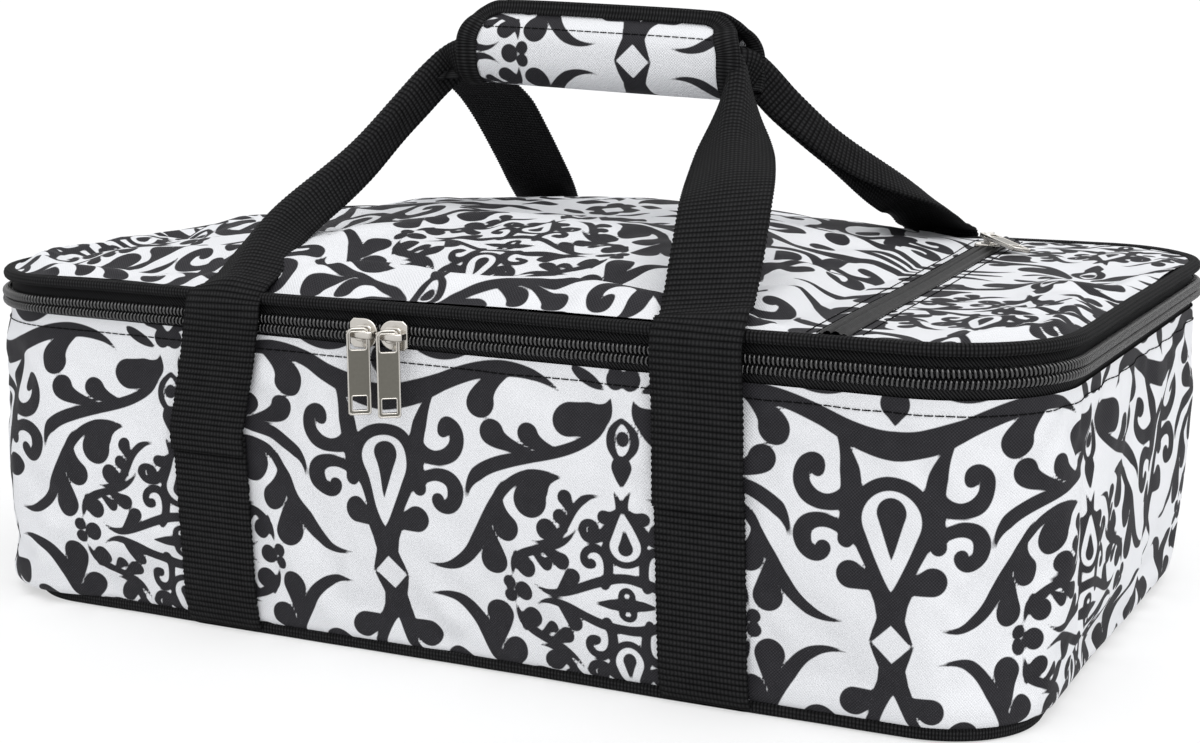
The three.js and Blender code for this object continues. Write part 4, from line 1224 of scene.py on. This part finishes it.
def stitches(name, path, normals, body, slot):
    """A row of sewn stitches lying on a path, each with its ends sunk in the cloth."""
    far = run_lengths(path)
    starts = np.arange(STITCH_GAP, far[-1] - STITCH_LENGTH, STITCH_LENGTH + STITCH_GAP)
    where = starts[:, None] + STITCH_SHARES[None] * STITCH_LENGTH
    at = on_path(where, far, path)
    up = unit(on_path(where, far, normals))
    ahead = unit(np.gradient(at, axis=1))
    side = unit(np.cross(ahead, up))
    turn = np.linspace(0, TURN, THREAD_SIDES, endpoint=False)
    ring = side[:, :, None] * np.cos(turn)[:, None] + up[:, :, None] * np.sin(turn)[:, None]
    arch = up[:, :, None] * (STITCH_ARCH * THREAD_RADIUS)[None, :, None, None]
    points = at[:, :, None] + arch + ring * THREAD_RADIUS
    faces = repeated_tubes(len(STITCH_SHARES), THREAD_SIDES, len(starts))
    return settle(make_piece(name, points, faces.tolist(), THREAD), body, slot)


def build_stitches():
    run = np.linspace(-ZIP_END, ZIP_END, WALL_STITCH_POINTS)
    height = wall_top(run) - WALL_STITCH_DROP
    path = off_rim(run, wall_offset(run, height) + wall_swell(run, height) + THREAD_LIFT, height)
    normals = np.concatenate([rim_at(run)[1], np.zeros((len(run), 1))], 1)
    stitches("wall_top_stitch", path, normals, "carrier_body", "print")
    reach = RIM_DEPTH / 2 - POCKET_STITCH_MARGIN
    along = np.linspace(-reach, reach, POCKET_STITCH_POINTS)
    upright = np.tile([0.0, 0.0, 1.0], (len(along), 1))
    for side, word in ((-1, "left"), (1, "right")):
        for number, distance in enumerate(POCKET_STITCH_ROWS, 1):
            path = pocket_frame(along, np.full_like(along, side * distance), 0.0)
            path[:, 2] = lid_height(path[:, 0], path[:, 1]) + THREAD_LIFT
            stitches(f"pocket_stitch_{word}_{number}", path, upright, "lid", "print")


# Webbing

WEB_POINTS = 13
HALF_WEB_POINTS = 60
WEB_STEP = 0.5
WEB_LIFT = 0.5
CREASE_WIDTH = 5.0
RIB_SCALLOP = 0.012
RIB_HEIGHT = 0.12
SELVEDGE = (0.9, 1.0)
SELVEDGE_THINNER = 0.35
FREE_HEIGHTS = (ZIP_HEIGHT - 6, ZIP_HEIGHT + 30)
OVER_HEIGHTS = (ZIP_HEIGHT, 142)
UPRIGHT_HEIGHTS = (165, 186)

# The base straps on the wall, and then depth and height as they turn under the base
WALL_STRAP_HEIGHTS = (STITCH_HEIGHT, 50.0, 30.0, 16.0)
STRAP_TURN_UNDER = [(-116.7, 9.0), (-115.8, 4.6), (-113.6, 1.6), (-109.0, 0.85), (-70.0, 0.85)]


def web_section(fold):
    """Across and up positions of the webbing's middle line at a fold angle, rounded at the crease."""
    half = np.linspace(0, WEB_WIDTH / 2, HALF_WEB_POINTS)
    tilt = fold * smoothstep(half, 0, CREASE_WIDTH)
    step = half[1] - half[0]
    x = np.r_[0, np.cumsum(np.cos(tilt[1:]) * step)]
    y = np.r_[0, np.cumsum(np.sin(tilt[1:]) * step)]
    q = np.linspace(-WEB_WIDTH / 2, WEB_WIDTH / 2, WEB_POINTS)
    size = np.abs(q)
    slope = np.interp(size, half, tilt) * np.sign(q)
    return np.sign(q) * np.interp(size, half, x), np.interp(size, half, y), slope


def webbing(name, path, far, face, fold):
    """A ribbon of webbing with ribs and scalloped edges along a path, folded lengthways by an angle."""
    ahead = unit(np.gradient(path, axis=0))
    face = unit(face - ahead * (face * ahead).sum(1, keepdims=True))
    across = np.cross(ahead, face)
    level = np.sign(across[:, :1]) * np.array([1.0, 0.0, 0.0])
    free = smoothstep(path[:, 2:], *FREE_HEIGHTS)
    across = unit(level * (1 - free) + across * free)
    rib = np.cos(TURN * far / WEB_RIB)
    edge = np.abs(np.linspace(-1, 1, WEB_POINTS))
    thinned = (1 - SELVEDGE_THINNER * smoothstep(edge, *SELVEDGE))[:, None]
    sections = []
    for k in range(len(path)):
        x, y, slope = web_section(fold[k])
        x = x * (1 + RIB_SCALLOP * rib[k])
        middle = path[k] + across[k] * x[:, None] + face[k] * y[:, None]
        normal = face[k] * np.cos(slope)[:, None] - across[k] * np.sin(slope)[:, None]
        thick = WEB_THICK / 2 * (1 + RIB_HEIGHT * rib[k]) * thinned
        sections.append(np.vstack([middle + normal * thick, (middle - normal * thick)[::-1]]))
    place = np.linspace(-WEB_WIDTH / 2, WEB_WIDTH / 2, WEB_POINTS)
    return loop_piece(name, np.array(sections), WEBBING, far[:, None], np.r_[place, place[::-1]][None])


def base_strap_points(x):
    """Centre line of one strap down the front wall, under the base and up the rear."""
    front = []
    for height in WALL_STRAP_HEIGHTS:
        out = float(wall_offset(x, height)) + PADDING + (WEB_THICK / 2 + WEB_LIFT)
        front.append((x, -(RIM_DEPTH / 2 + out), height))
    front += [(x, depth, height) for depth, height in STRAP_TURN_UNDER]
    return front + [(px, -py, pz) for px, py, pz in reversed(front)]


def build_body_straps():
    for word, hand in (("left", -1), ("right", 1)):
        path, far = smooth_path(base_strap_points(WEB_SHIFT + hand * WEB_SPREAD), WEB_STEP)
        ahead = unit(np.gradient(path, axis=0))
        face = np.cross(np.array([1.0, 0, 0]), ahead)
        strap = webbing(f"{word}_base_strap", path, far, face, np.zeros(len(path)))
        settle(strap, "carrier_body", "webbing", f"{word}_body_strap")


# Legs of the handles: places low on the lid's slope, midway and at the grip's mouth, the heights over which
# the webbing folds lengthways, how far it leans out and how far it folds, in degrees
LEGS = {
    ("front", -1): {"places": [(-87.0, 80.0, 143.3), (-79.5, 38.0, 165.2), (-68.3, 2.8, 194.6)],
                    "folding": (107.0, 178.0), "lean": 1.0, "fold": 92.0},
    ("front", 1): {"places": [(84.7, 80.0, 156.4), (68.1, 38.0, 172.2), (57.6, 8.4, 194.2)],
                   "folding": (151.0, 201.0), "lean": 0.5, "fold": 88.0},
    ("rear", -1): {"places": [(-71.8, 80.0, 146.4), (-63.7, 38.0, 175.1), (-60.6, 8.5, 190.8)],
                   "folding": (186.0, 199.0), "lean": 0.5, "fold": 84.0},
    ("rear", 1): {"places": [(91.4, 80.0, 144.2), (73.8, 38.0, 169.3), (58.5, 14.4, 194.5)],
                  "folding": (122.0, 170.0), "lean": 1.1, "fold": 98.0},
}


def leg_points(word, hand):
    """Centre line of one leg from its stitch line up the wall, over the rim and the lid, into the grip."""
    side = -1 if word == "front" else 1
    low, mid, mouth = LEGS[word, hand]["places"]
    foot = WEB_SHIFT + hand * WEB_SPREAD
    rim = RIM_SWAY[word] + hand * RIM_SPREAD
    slant = rim - foot
    on_wall = [
        (foot, 121.5, STITCH_HEIGHT - 7),
        (foot, 121.6, STITCH_HEIGHT),
        (foot + slant * 0.24, 121.9, 82.0),
        (foot + slant * 0.63, 122.6, 97.0),
    ]
    over_rim = [
        (rim, 124.4, ZIP_HEIGHT),
        (rim, 123.8, 118.5),
        (rim, 120.0, 124.2),
        (rim * 0.8 + low[0] * 0.2, 110.0, 128.0),
    ]
    in_grip = [
        (hand * 50.0, 4.2, 200.5 - hand * 1.5),
        (hand * 37.0, 4.0, 200.5 - hand * 1.2),
    ]
    places = on_wall + over_rim + [low, mid, mouth] + in_grip
    return [(x, side * reach, height) for x, reach, height in places]


def build_handles():
    for word, side in (("front", -1), ("rear", 1)):
        path, far = smooth_path(leg_points(word, -1) + leg_points(word, 1)[::-1], WEB_STEP)
        x, _, z = path.T
        left, right = LEGS[word, -1], LEGS[word, 1]
        lean = np.where(x < 0, left["lean"], right["lean"])
        fold_left, fold_right = [leg["fold"] * smoothstep(z, *leg["folding"]) for leg in (left, right)]
        fold = np.where(x < 0, fold_left, fold_right)
        over = smoothstep(z, *OVER_HEIGHTS)
        outward = 1 + over * (lean * (1 - smoothstep(z, *UPRIGHT_HEIGHTS)) - 1)
        face = np.stack([np.zeros(len(path)), side * outward, over], 1)
        strap = webbing(f"{word}_handle_strap", path, far, face, -np.radians(fold))
        settle(strap, None, "webbing", f"{word}_handle_webbing")
        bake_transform(strap)


# Grip

GRIP_CORNER = 16.0
GRIP_ROUND = (-90, 68)
GRIP_ROUND_POINTS = 60
GRIP_SQUARENESS = 0.8
GRIP_END_TAPER = 0.1
GRIP_END_DROP = 1.2
GRIP_WAVE = 0.03
GRIP_WAVE_RUN = 13
GRIP_LEAST_DEPTH = 0.2
GRIP_SLOPE_STEP = 0.5
GRIP_CORNER_POINTS = 120
FOLD_CLEARANCE = 0.3
GRIP_LIP_DEPTHS = (3.4, 2.9)
GRIP_LIP = 2.5
GRIP_COLUMNS = 160
GRIP_END_INSET = 0.5
GRIP_ROWS = 72
GRIP_PRINT_X = 16.0
GRIP_PRINT_Y = 20.0
GRIP_STITCH_MARGIN = 9.0
GRIP_STITCH_SHARE = 0.7
GRIP_STITCH_POINTS = 60
GRIP_TAPE_WIDTH = 5.6
GRIP_TAPE_WIDER = 3.0
GRIP_TAPE_GIRTH = 9.0
# share of the tape's width in from the bound edge, and lift off the cloth
GRIP_TAPE_PROFILE = [(1.0, 0.45), (0.96, 0.8), (0.5, 0.95), (0.1, 0.9), (-0.03, 0.4), (-0.03, -0.6),
                     (0.1, -1.1), (0.6, -1.1)]
STRIP_HALF_LENGTH = 32.0
STRIP_LEVELS = (GRIP_TOP - 6, GRIP_TOP - 1.5)
STRIP_DEPTH = 0.9
STRIP_COLUMNS = 40
STRIP_ROWS = 6


def grip_section():
    """Depth and height of the wrap from its fold to its top edge, by distance along the cloth."""
    a = np.radians(np.linspace(*GRIP_ROUND, GRIP_ROUND_POINTS))
    depth = GRIP_HALF_DEPTH * np.abs(np.cos(a)) ** GRIP_SQUARENESS
    height = GRIP_CENTRE + GRIP_HALF_HEIGHT * np.sign(np.sin(a)) * np.abs(np.sin(a)) ** GRIP_SQUARENESS
    depth = np.r_[depth, GRIP_LIP_DEPTHS]
    height = np.r_[height, GRIP_TOP - GRIP_LIP, GRIP_TOP]
    return run_lengths(np.stack([depth, height], 1)), depth, height


GRIP_FAR, GRIP_DEPTH_AT, GRIP_HEIGHT_AT = grip_section()
GRIP_CLOTH = GRIP_FAR[-1]


def cloth_at(height):
    """Distance along the wrap's cloth at a height."""
    return np.interp(height, GRIP_HEIGHT_AT, GRIP_FAR)


def fold_line(side, a):
    """Where the cloth of one half starts: the rear half stays above the level line that it opens about."""
    if side < 0:
        return np.zeros_like(a)
    lowest = GRIP_CENTRE - GRIP_HALF_HEIGHT
    return cloth_at(lowest + FOLD_CLEARANCE + np.maximum(a, 0) * GRIP_TILT)


def grip_profile(b):
    """Depth and height of the wrap at distances along its cloth."""
    return np.interp(b, GRIP_FAR, GRIP_DEPTH_AT), np.interp(b, GRIP_FAR, GRIP_HEIGHT_AT)


def grip_point(side, a, b, lift):
    """A point on one half of the wrap, a along the grip and b up the cloth from the fold."""
    b = np.clip(b, fold_line(side, a), GRIP_CLOTH)
    end = (np.abs(a) / (GRIP_LENGTH / 2)) ** 4
    puff = 1 - GRIP_END_TAPER * end + GRIP_WAVE * np.cos(a / GRIP_WAVE_RUN)
    depth, height = grip_profile(b)
    height = height - GRIP_END_DROP * end * np.interp(b, [0, GRIP_CLOTH], [0, 1])
    ahead, behind = grip_profile(b + GRIP_SLOPE_STEP), grip_profile(b - GRIP_SLOPE_STEP)
    inward, upward = ahead[0] - behind[0], ahead[1] - behind[1]
    long = np.maximum(np.hypot(inward, upward), 1e-6)
    out = side * (np.maximum(depth * puff, GRIP_LEAST_DEPTH) + lift * upward / long)
    return np.stack([a + GRIP_SHIFT, out, height - lift * inward / long - a * GRIP_TILT], -1)


def grip_limit(a):
    """How far up the cloth reaches, with round upper corners."""
    past = np.clip(np.abs(a) - (GRIP_LENGTH / 2 - GRIP_CORNER), 0, GRIP_CORNER)
    return cloth_at(GRIP_TOP - GRIP_CORNER + np.sqrt(GRIP_CORNER**2 - past**2))


def grip_edge():
    """The bound edge in flat cloth distances, up one end, over the top and down the other, and its inside."""
    half = GRIP_LENGTH / 2
    turn = np.radians(np.linspace(180, 90, GRIP_CORNER_POINTS))
    corner_along = GRIP_CORNER * (1 + np.cos(turn)) - half
    corner_up = cloth_at(GRIP_TOP + GRIP_CORNER * (np.sin(turn) - 1))
    left = np.vstack([[(-half, 0.0)], np.stack([corner_along, corner_up], 1), [(0.0, GRIP_CLOTH)]])
    edge = np.vstack([left, (left * [-1, 1])[::-1][1:]])
    far = run_lengths(edge)
    even = np.linspace(0, far[-1], int(far[-1] / CLOTH_STEP))
    edge = on_path(even, far, edge)
    ahead = unit(np.gradient(edge, axis=0))
    inward = np.stack([ahead[:, 1], -ahead[:, 0]], 1)
    return edge, inward


def build_grip_half(word, side, body, prefix):
    """One half of the wrap: its printed cover, its bound edge and its row of stitches."""
    half = GRIP_LENGTH / 2
    a = np.linspace(-half + GRIP_END_INSET, half - GRIP_END_INSET, GRIP_COLUMNS)
    share = np.linspace(0, 1, GRIP_ROWS)
    start = fold_line(side, a)
    b = start + share[:, None] * (grip_limit(a) - start)[None]
    aa = np.broadcast_to(a[None], b.shape)
    ink = ink_at(aa - GRIP_PRINT_X, b - GRIP_PRINT_Y)
    cover = sheet_piece(f"{word}_print", grip_point(side, aa, b, 0.0), PRINT, aa, b, ink, flip=side > 0)
    settle(cover, body, "print", f"{prefix}_cover", f"{prefix}_pad")
    edge, inward = grip_edge()
    wide = GRIP_TAPE_WIDTH + GRIP_TAPE_WIDER * smoothstep(np.abs(edge[:, 0]), half - GRIP_CORNER, half)
    rows = []
    for inset, lift in GRIP_TAPE_PROFILE:
        flat = edge + inward * (wide * inset)[:, None]
        rows.append(grip_point(side, flat[:, 0], flat[:, 1], lift))
    across = np.linspace(0, GRIP_TAPE_GIRTH, len(rows))[None]
    tape = sheet_piece(f"{word}_edge_tape", np.stack(rows, 1), BINDING, run_lengths(edge)[:, None], across,
                       flip=side < 0)
    settle(tape, body, "binding", f"{prefix}_binding")
    line = np.linspace(-half + GRIP_STITCH_MARGIN, half - GRIP_STITCH_MARGIN, GRIP_STITCH_POINTS)
    level = np.full_like(line, GRIP_CLOTH * GRIP_STITCH_SHARE)
    path = grip_point(side, line, level, THREAD_LIFT)
    normals = grip_point(side, line, level, THREAD_LIFT + 1) - path
    stitches(f"{word}_stitch", path, normals, body, "print")


def build_grip():
    build_grip_half("grip_front", -1, "front_handle", "grip")
    build_grip_half("grip_rear", 1, "grip_flap", "grip_flap")
    for node, side, body in (("hook_strip", -1, "front_handle"), ("loop_strip", 1, "grip_flap")):
        reach = np.linspace(-STRIP_HALF_LENGTH, STRIP_HALF_LENGTH, STRIP_COLUMNS)
        along, up = np.meshgrid(reach, np.linspace(*STRIP_LEVELS, STRIP_ROWS))
        depth = np.full_like(along, side * STRIP_DEPTH)
        points = np.stack([along + GRIP_SHIFT, depth, up - along * GRIP_TILT], -1)
        strip = sheet_piece(f"{node}_cloth", points, HOOK, along, up, flip=side < 0)
        settle(strip, body, "hook_and_loop", node)


# Metal

LOOP_STEPS = 5
NOSE_STEPS = 15
SHARP_ANGLE = math.radians(35)

# Sliders, with loops as width, height and corner
RIB_LOOP = (6.5, 5.4, 1.6)
POST_LOOP = (3.0, 0.5, 0.1)
SLIDER_LENGTH = 10.5
SLIDER_HEIGHT = 9.7
SLIDER_TAIL = 0.36
SLIDER_SHOULDER = 1.5
FRONT_PLATE = {"thickness": 1.3, "bevel": 0.4}
BACK_PLATE = {"thickness": 1.0, "bevel": 0.3}
RIB_PLATE = {"thickness": 1.0, "bevel": 0.4}
BAIL_PLATE = {"thickness": 2.4, "bevel": 0.45}
POST_BEVEL = 0.05
BAIL_OUTER = [(-5.0, 0.0), (-5.0, 3.2), (-4.0, 4.2), (4.0, 4.2), (5.0, 3.2), (5.0, 0.0)]
BAIL_INNER = [(3.7, 0.0), (3.7, 2.5), (3.2, 2.9), (-3.2, 2.9), (-3.7, 2.5), (-3.7, 0.0)]

# Pulls, with loops as width, height and corner
SLOT_LOOP = (5.2, 5.7, 0.8)
SLOT_RIM_LOOP = (6.1, 6.6, 1.1)
WINDOW_LOOP = (4.6, 4.6, 0.4)
WINDOW_RIM_LOOP = (5.4, 5.4, 0.6)
TAB_PLATE = {"thickness": 1.2, "bevel": 0.1}
EDGE_RIM_PLATE = {"thickness": 1.6, "bevel": 0.2}
HOLE_RIM_PLATE = {"thickness": 1.6, "bevel": 0.18}
TAB_INSET = 0.15
EDGE_RIM_WIDTH = 0.55
PULL_LENGTH = 28.6
PULL_HALF_WIDTH = 3.75
PULL_TOP = 2.35
PULL_FOOT_CUT = 0.6
PULL_SHOULDER = 0.65
PULL_SHOULDER_DROP = 0.6
PULL_SHOULDER_FOOT = 0.4
PULL_HALF_TOP = 1.9
BAIL_SLOT_DROP = 1.4 + 2.85
WINDOW_RISE = 1.5 + 2.4

# Places of the sliders, distances from the zip to their plates, and turns of the pulls on their bails
LEFT_SLIDER_X = -23.5
RIGHT_SLIDER_X = -12.2
POCKET_SLIDER_ALONG = 92.0
POCKET_SLIDER_HEIGHT = 120.8
RIM_SLIDER = {"outside": 1.6, "inside": 2.4, "bail": 6.0}
POCKET_SLIDER = {"outside": 0.9, "inside": 2.8, "bail": 4.7}
RIM_PULL = {"swivel": 0.0, "dip": 0.0, "turn": math.radians(36)}
POCKET_PULL = {"swivel": math.radians(50), "dip": math.radians(5), "turn": math.radians(10)}


def flat_plate(name, loops, thickness, bevel):
    """A plate with rounded edges from closed loops of points, in its own plane."""
    curve = bpy.data.curves.new(name, "CURVE")
    curve.dimensions = "2D"
    curve.fill_mode = "BOTH"
    curve.extrude = (thickness / 2 - bevel) * MM
    curve.bevel_depth = bevel * MM
    curve.bevel_resolution = 2
    curve.offset = -bevel * MM
    for loop in loops:
        spline = curve.splines.new("POLY")
        spline.points.add(len(loop) - 1)
        for point, (x, y) in zip(spline.points, loop):
            point.co = (x * MM, y * MM, 0, 1)
        spline.use_cyclic_u = True
    obj = shown(name, curve)
    mesh = bpy.data.meshes.new_from_object(obj.evaluated_get(bpy.context.evaluated_depsgraph_get()))
    bpy.data.objects.remove(obj)
    bpy.data.curves.remove(curve)
    return mesh


def rounded_loop(width, height, radius, y=0.0):
    return rounded_box(0.0, y, width, height, radius, LOOP_STEPS)


def shield_loop(long, tall):
    """Slider outline: square tail at the left, round nose at the right."""
    nose = tall / 2
    tail = -long / 2
    points = [(tail, tall * SLIDER_TAIL), (tail, -tall * SLIDER_TAIL), (tail + SLIDER_SHOULDER, -nose)]
    points += [(long / 2 - nose + nose * math.cos(a), nose * math.sin(a))
               for a in np.radians(np.linspace(-90, 90, NOSE_STEPS))]
    return points + [(tail + SLIDER_SHOULDER, nose)]


def joined(name, meshes):
    """One piece from several meshes, each with its place and metal."""
    metals = [NICKEL, SATIN]
    points, faces, kinds = [], [], []
    for mesh, matrix, metal in meshes:
        first = len(points)
        points += [matrix @ v.co for v in mesh.vertices]
        faces += [[first + i for i in p.vertices] for p in mesh.polygons]
        kinds += [metals.index(metal)] * len(mesh.polygons)
    whole = bpy.data.meshes.new(name)
    whole.from_pydata(points, [], faces)
    for metal in metals:
        whole.materials.append(metal)
    whole.polygons.foreach_set("material_index", kinds)
    whole.update()
    obj = shown(name, whole)
    whole.shade_smooth()
    whole.set_sharp_from_angle(angle=SHARP_ANGLE)
    return obj


def moved(x, y, z):
    return Matrix.Translation(Vector((x, y, z)) * MM)


def turned(angle, axis):
    return Matrix.Rotation(angle, 4, axis)


def facing_out(x, y):
    """Lays a plate's plane across the zip: its X along the zip, its Y up and its face outwards."""
    return moved(x, y, 0) @ turned(math.pi / 2, "X")


def slider_meshes(outside, inside, nose_left):
    """Front and back plates on a post, a raised rib and the arch that the pull hangs from."""
    shield = shield_loop(SLIDER_LENGTH, SLIDER_HEIGHT)
    front = flat_plate("front_plate", [shield], **FRONT_PLATE)
    back = flat_plate("back_plate", [shield], **BACK_PLATE)
    rib = flat_plate("rib_plate", [rounded_loop(*RIB_LOOP)], **RIB_PLATE)
    post = flat_plate("post", [rounded_loop(*POST_LOOP)], outside + inside + 1.0, POST_BEVEL)
    arch = flat_plate("bail", [BAIL_OUTER + BAIL_INNER], **BAIL_PLATE)
    spin = turned(math.pi if nose_left else 0, "Y")
    return [
        (front, spin @ facing_out(0, -outside - 0.55), NICKEL),
        (rib, spin @ facing_out(0, -outside - 1.2), NICKEL),
        (back, spin @ facing_out(0, inside + 0.5), NICKEL),
        (post, spin @ facing_out(1.5, (inside - outside) / 2), NICKEL),
        (arch, moved(0, -outside - 0.8, 0) @ turned(math.pi, "X"), NICKEL),
    ]


def pull_outline(inset):
    """The tab hangs from its bail: shoulders at the top, square at the foot."""
    wide = PULL_HALF_WIDTH - inset
    top = PULL_TOP - inset
    foot = PULL_TOP - PULL_LENGTH + inset
    right = [
        (wide - PULL_FOOT_CUT, foot),
        (wide, foot + PULL_FOOT_CUT),
        (wide, PULL_SHOULDER_FOOT),
        (wide - PULL_SHOULDER, top - PULL_SHOULDER_DROP),
        (PULL_HALF_TOP, top),
    ]
    return right + [(-x, y) for x, y in reversed(right)]


def pull_meshes(place):
    """A satin tab with bright rims round its edge, its bail slot and its window."""
    slot_at = PULL_TOP - BAIL_SLOT_DROP
    window_at = PULL_TOP - PULL_LENGTH + WINDOW_RISE
    slot = rounded_loop(*SLOT_LOOP, slot_at)[::-1]
    window = rounded_loop(*WINDOW_LOOP, window_at)[::-1]
    tab = flat_plate("tab", [pull_outline(TAB_INSET), slot, window], **TAB_PLATE)
    edge = flat_plate("edge_rim", [pull_outline(0), pull_outline(EDGE_RIM_WIDTH)[::-1]], **EDGE_RIM_PLATE)
    round_slot = rounded_loop(*SLOT_RIM_LOOP, slot_at)
    round_window = rounded_loop(*WINDOW_RIM_LOOP, window_at)
    slot_rim = flat_plate("slot_rim", [round_slot, slot], **HOLE_RIM_PLATE)
    window_rim = flat_plate("window_rim", [round_window, window], **HOLE_RIM_PLATE)
    return [(tab, place, SATIN)] + [(rim, place, NICKEL) for rim in (edge, slot_rim, window_rim)]


def rim_zip_frame(x):
    """Place of a slider on the front of the rim zip."""
    return moved(x, -RIM_DEPTH / 2, ZIP_HEIGHT)


def pocket_zip_frame():
    """Place of the slider on the pocket zip, with its nose to the rear and its face up."""
    along = Vector((-math.sin(POCKET_SLANT), math.cos(POCKET_SLANT), 0))
    right = Vector((math.cos(POCKET_SLANT), math.sin(POCKET_SLANT), 0))
    place = (Vector((POCKET_X, 0, POCKET_SLIDER_HEIGHT)) + along * POCKET_SLIDER_ALONG) * MM
    lying = Matrix((along, Vector((0, 0, -1)), -right)).transposed().to_4x4()
    return Matrix.Translation(place) @ lying


def build_zip_slider(word, zip_frame, sizes, pull_turns, nose_left=False):
    parts = slider_meshes(sizes["outside"], sizes["inside"], nose_left)
    slider = joined(f"{word}_zip_slider", [(mesh, zip_frame @ at, metal) for mesh, at, metal in parts])
    settle(slider, f"{word}_slider", "nickel", f"{word}_slider")
    hang = zip_frame @ moved(0, -sizes["bail"], 0) @ turned(pull_turns["swivel"], "Y")
    swung = hang @ turned(pull_turns["dip"], "X") @ turned(pull_turns["turn"], "Z")
    place = swung @ turned(math.pi / 2, "X")
    pull = joined(f"{word}_zip_pull", pull_meshes(place))
    settle(pull, f"{word}_pull", "nickel", f"{word}_pull")


def build_metal():
    build_zip_slider("left", rim_zip_frame(LEFT_SLIDER_X), RIM_SLIDER, RIM_PULL)
    build_zip_slider("right", rim_zip_frame(RIGHT_SLIDER_X), RIM_SLIDER, RIM_PULL, nose_left=True)
    build_zip_slider("pocket", pocket_zip_frame(), POCKET_SLIDER, POCKET_PULL)


def paint_base_board():
    """The board stays as its solid, in a finish of its own."""
    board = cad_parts["base_board"].data
    board.materials.clear()
    board.materials.append(BOARD)


# Stage, light and camera

FLOOR_HALF = 40.0
FLOOR_PAPER = (0.985, 0.985, 0.985, 1)
FLOOR_WHITE = 0.55
WHITE = (1, 1, 1, 1)
AMBIENT = 0.67
AMBIENT_COLOUR = (0.97, 0.98, 1.0, 1)
SKY_ENERGY = 1.7
SKY_SPREAD = math.radians(60)
SKY_DIRECTION = (-0.40, 0.30, -0.95)

CAMERA_AZIMUTH = math.radians(26.9)
CAMERA_ELEVATION = math.radians(10.88)
CAMERA_ROLL = math.radians(-0.39)
CAMERA_DISTANCE = 965.11
CAMERA_TARGET = (-82.8, 161.76, 44.29)
CAMERA_LENS = 62.82
CAMERA_SENSOR = 36


def background_rays(g):
    """1 for rays from the camera, off metal or through clear things, which see the white background."""
    rays = g.node("ShaderNodeLightPath")
    kinds = ("Camera", "Glossy", "Transmission")
    return sum(Value(g, rays.outputs[f"Is {kind} Ray"]) for kind in kinds).clamped()


def build_floor():
    """A wide sheet of white paper that keeps the shadow."""
    h = FLOOR_HALF
    mesh = bpy.data.meshes.new("floor")
    mesh.from_pydata([(-h, -h, 0), (h, -h, 0), (h, h, 0), (-h, h, 0)], [], [(0, 1, 2, 3)])
    g = material_graph("floor")
    paper = g.surface(Base_Color=FLOOR_PAPER, Roughness=0.9, Specular_IOR_Level=0.1)
    glow = g.node("ShaderNodeEmission", Color=WHITE, Strength=1.0)
    lit = g.tree.nodes["Principled BSDF"]
    g.mix_shown(background_rays(g) * FLOOR_WHITE, lit, glow, "Material Output")
    mesh.materials.append(paper)
    shown("floor", mesh)


def build_light():
    world = bpy.data.worlds.new("studio")
    bpy.context.scene.world = world
    g = Graph(world)
    ambient = g.node("ShaderNodeBackground", Color=AMBIENT_COLOUR, Strength=AMBIENT)
    white = g.node("ShaderNodeBackground", Color=WHITE, Strength=1.0)
    g.mix_shown(background_rays(g), ambient, white, "World Output")
    sky = bpy.data.lights.new("sky_panel", "SUN")
    sky.energy = SKY_ENERGY
    sky.angle = SKY_SPREAD
    shown("sky_panel", sky).rotation_euler = Vector(SKY_DIRECTION).to_track_quat("-Z", "Y").to_euler()


def build_camera():
    back = Vector((math.sin(CAMERA_AZIMUTH) * math.cos(CAMERA_ELEVATION),
                   -math.cos(CAMERA_AZIMUTH) * math.cos(CAMERA_ELEVATION), math.sin(CAMERA_ELEVATION)))
    level = Vector((math.cos(CAMERA_AZIMUTH), math.sin(CAMERA_AZIMUTH), 0))
    upright = back.cross(level)
    right = level * math.cos(CAMERA_ROLL) + upright * math.sin(CAMERA_ROLL)
    up = upright * math.cos(CAMERA_ROLL) - level * math.sin(CAMERA_ROLL)
    camera = bpy.data.cameras.new("camera")
    camera.lens = CAMERA_LENS
    camera.sensor_width = CAMERA_SENSOR
    place = (Vector(CAMERA_TARGET) + back * CAMERA_DISTANCE) * MM
    obj = shown("camera", camera)
    obj.matrix_world = Matrix.Translation(place) @ Matrix((right, up, back)).transposed().to_4x4()
    bpy.context.scene.camera = obj


build_wall()
build_base()
build_lining()
build_lid()
build_rim_zip()
build_hinge()
build_pocket_zip()
build_stitches()
build_body_straps()
build_handles()
build_grip()
build_metal()
paint_base_board()
build_floor()
build_light()
build_camera()
bpy.context.scene.view_settings.view_transform = "Standard"
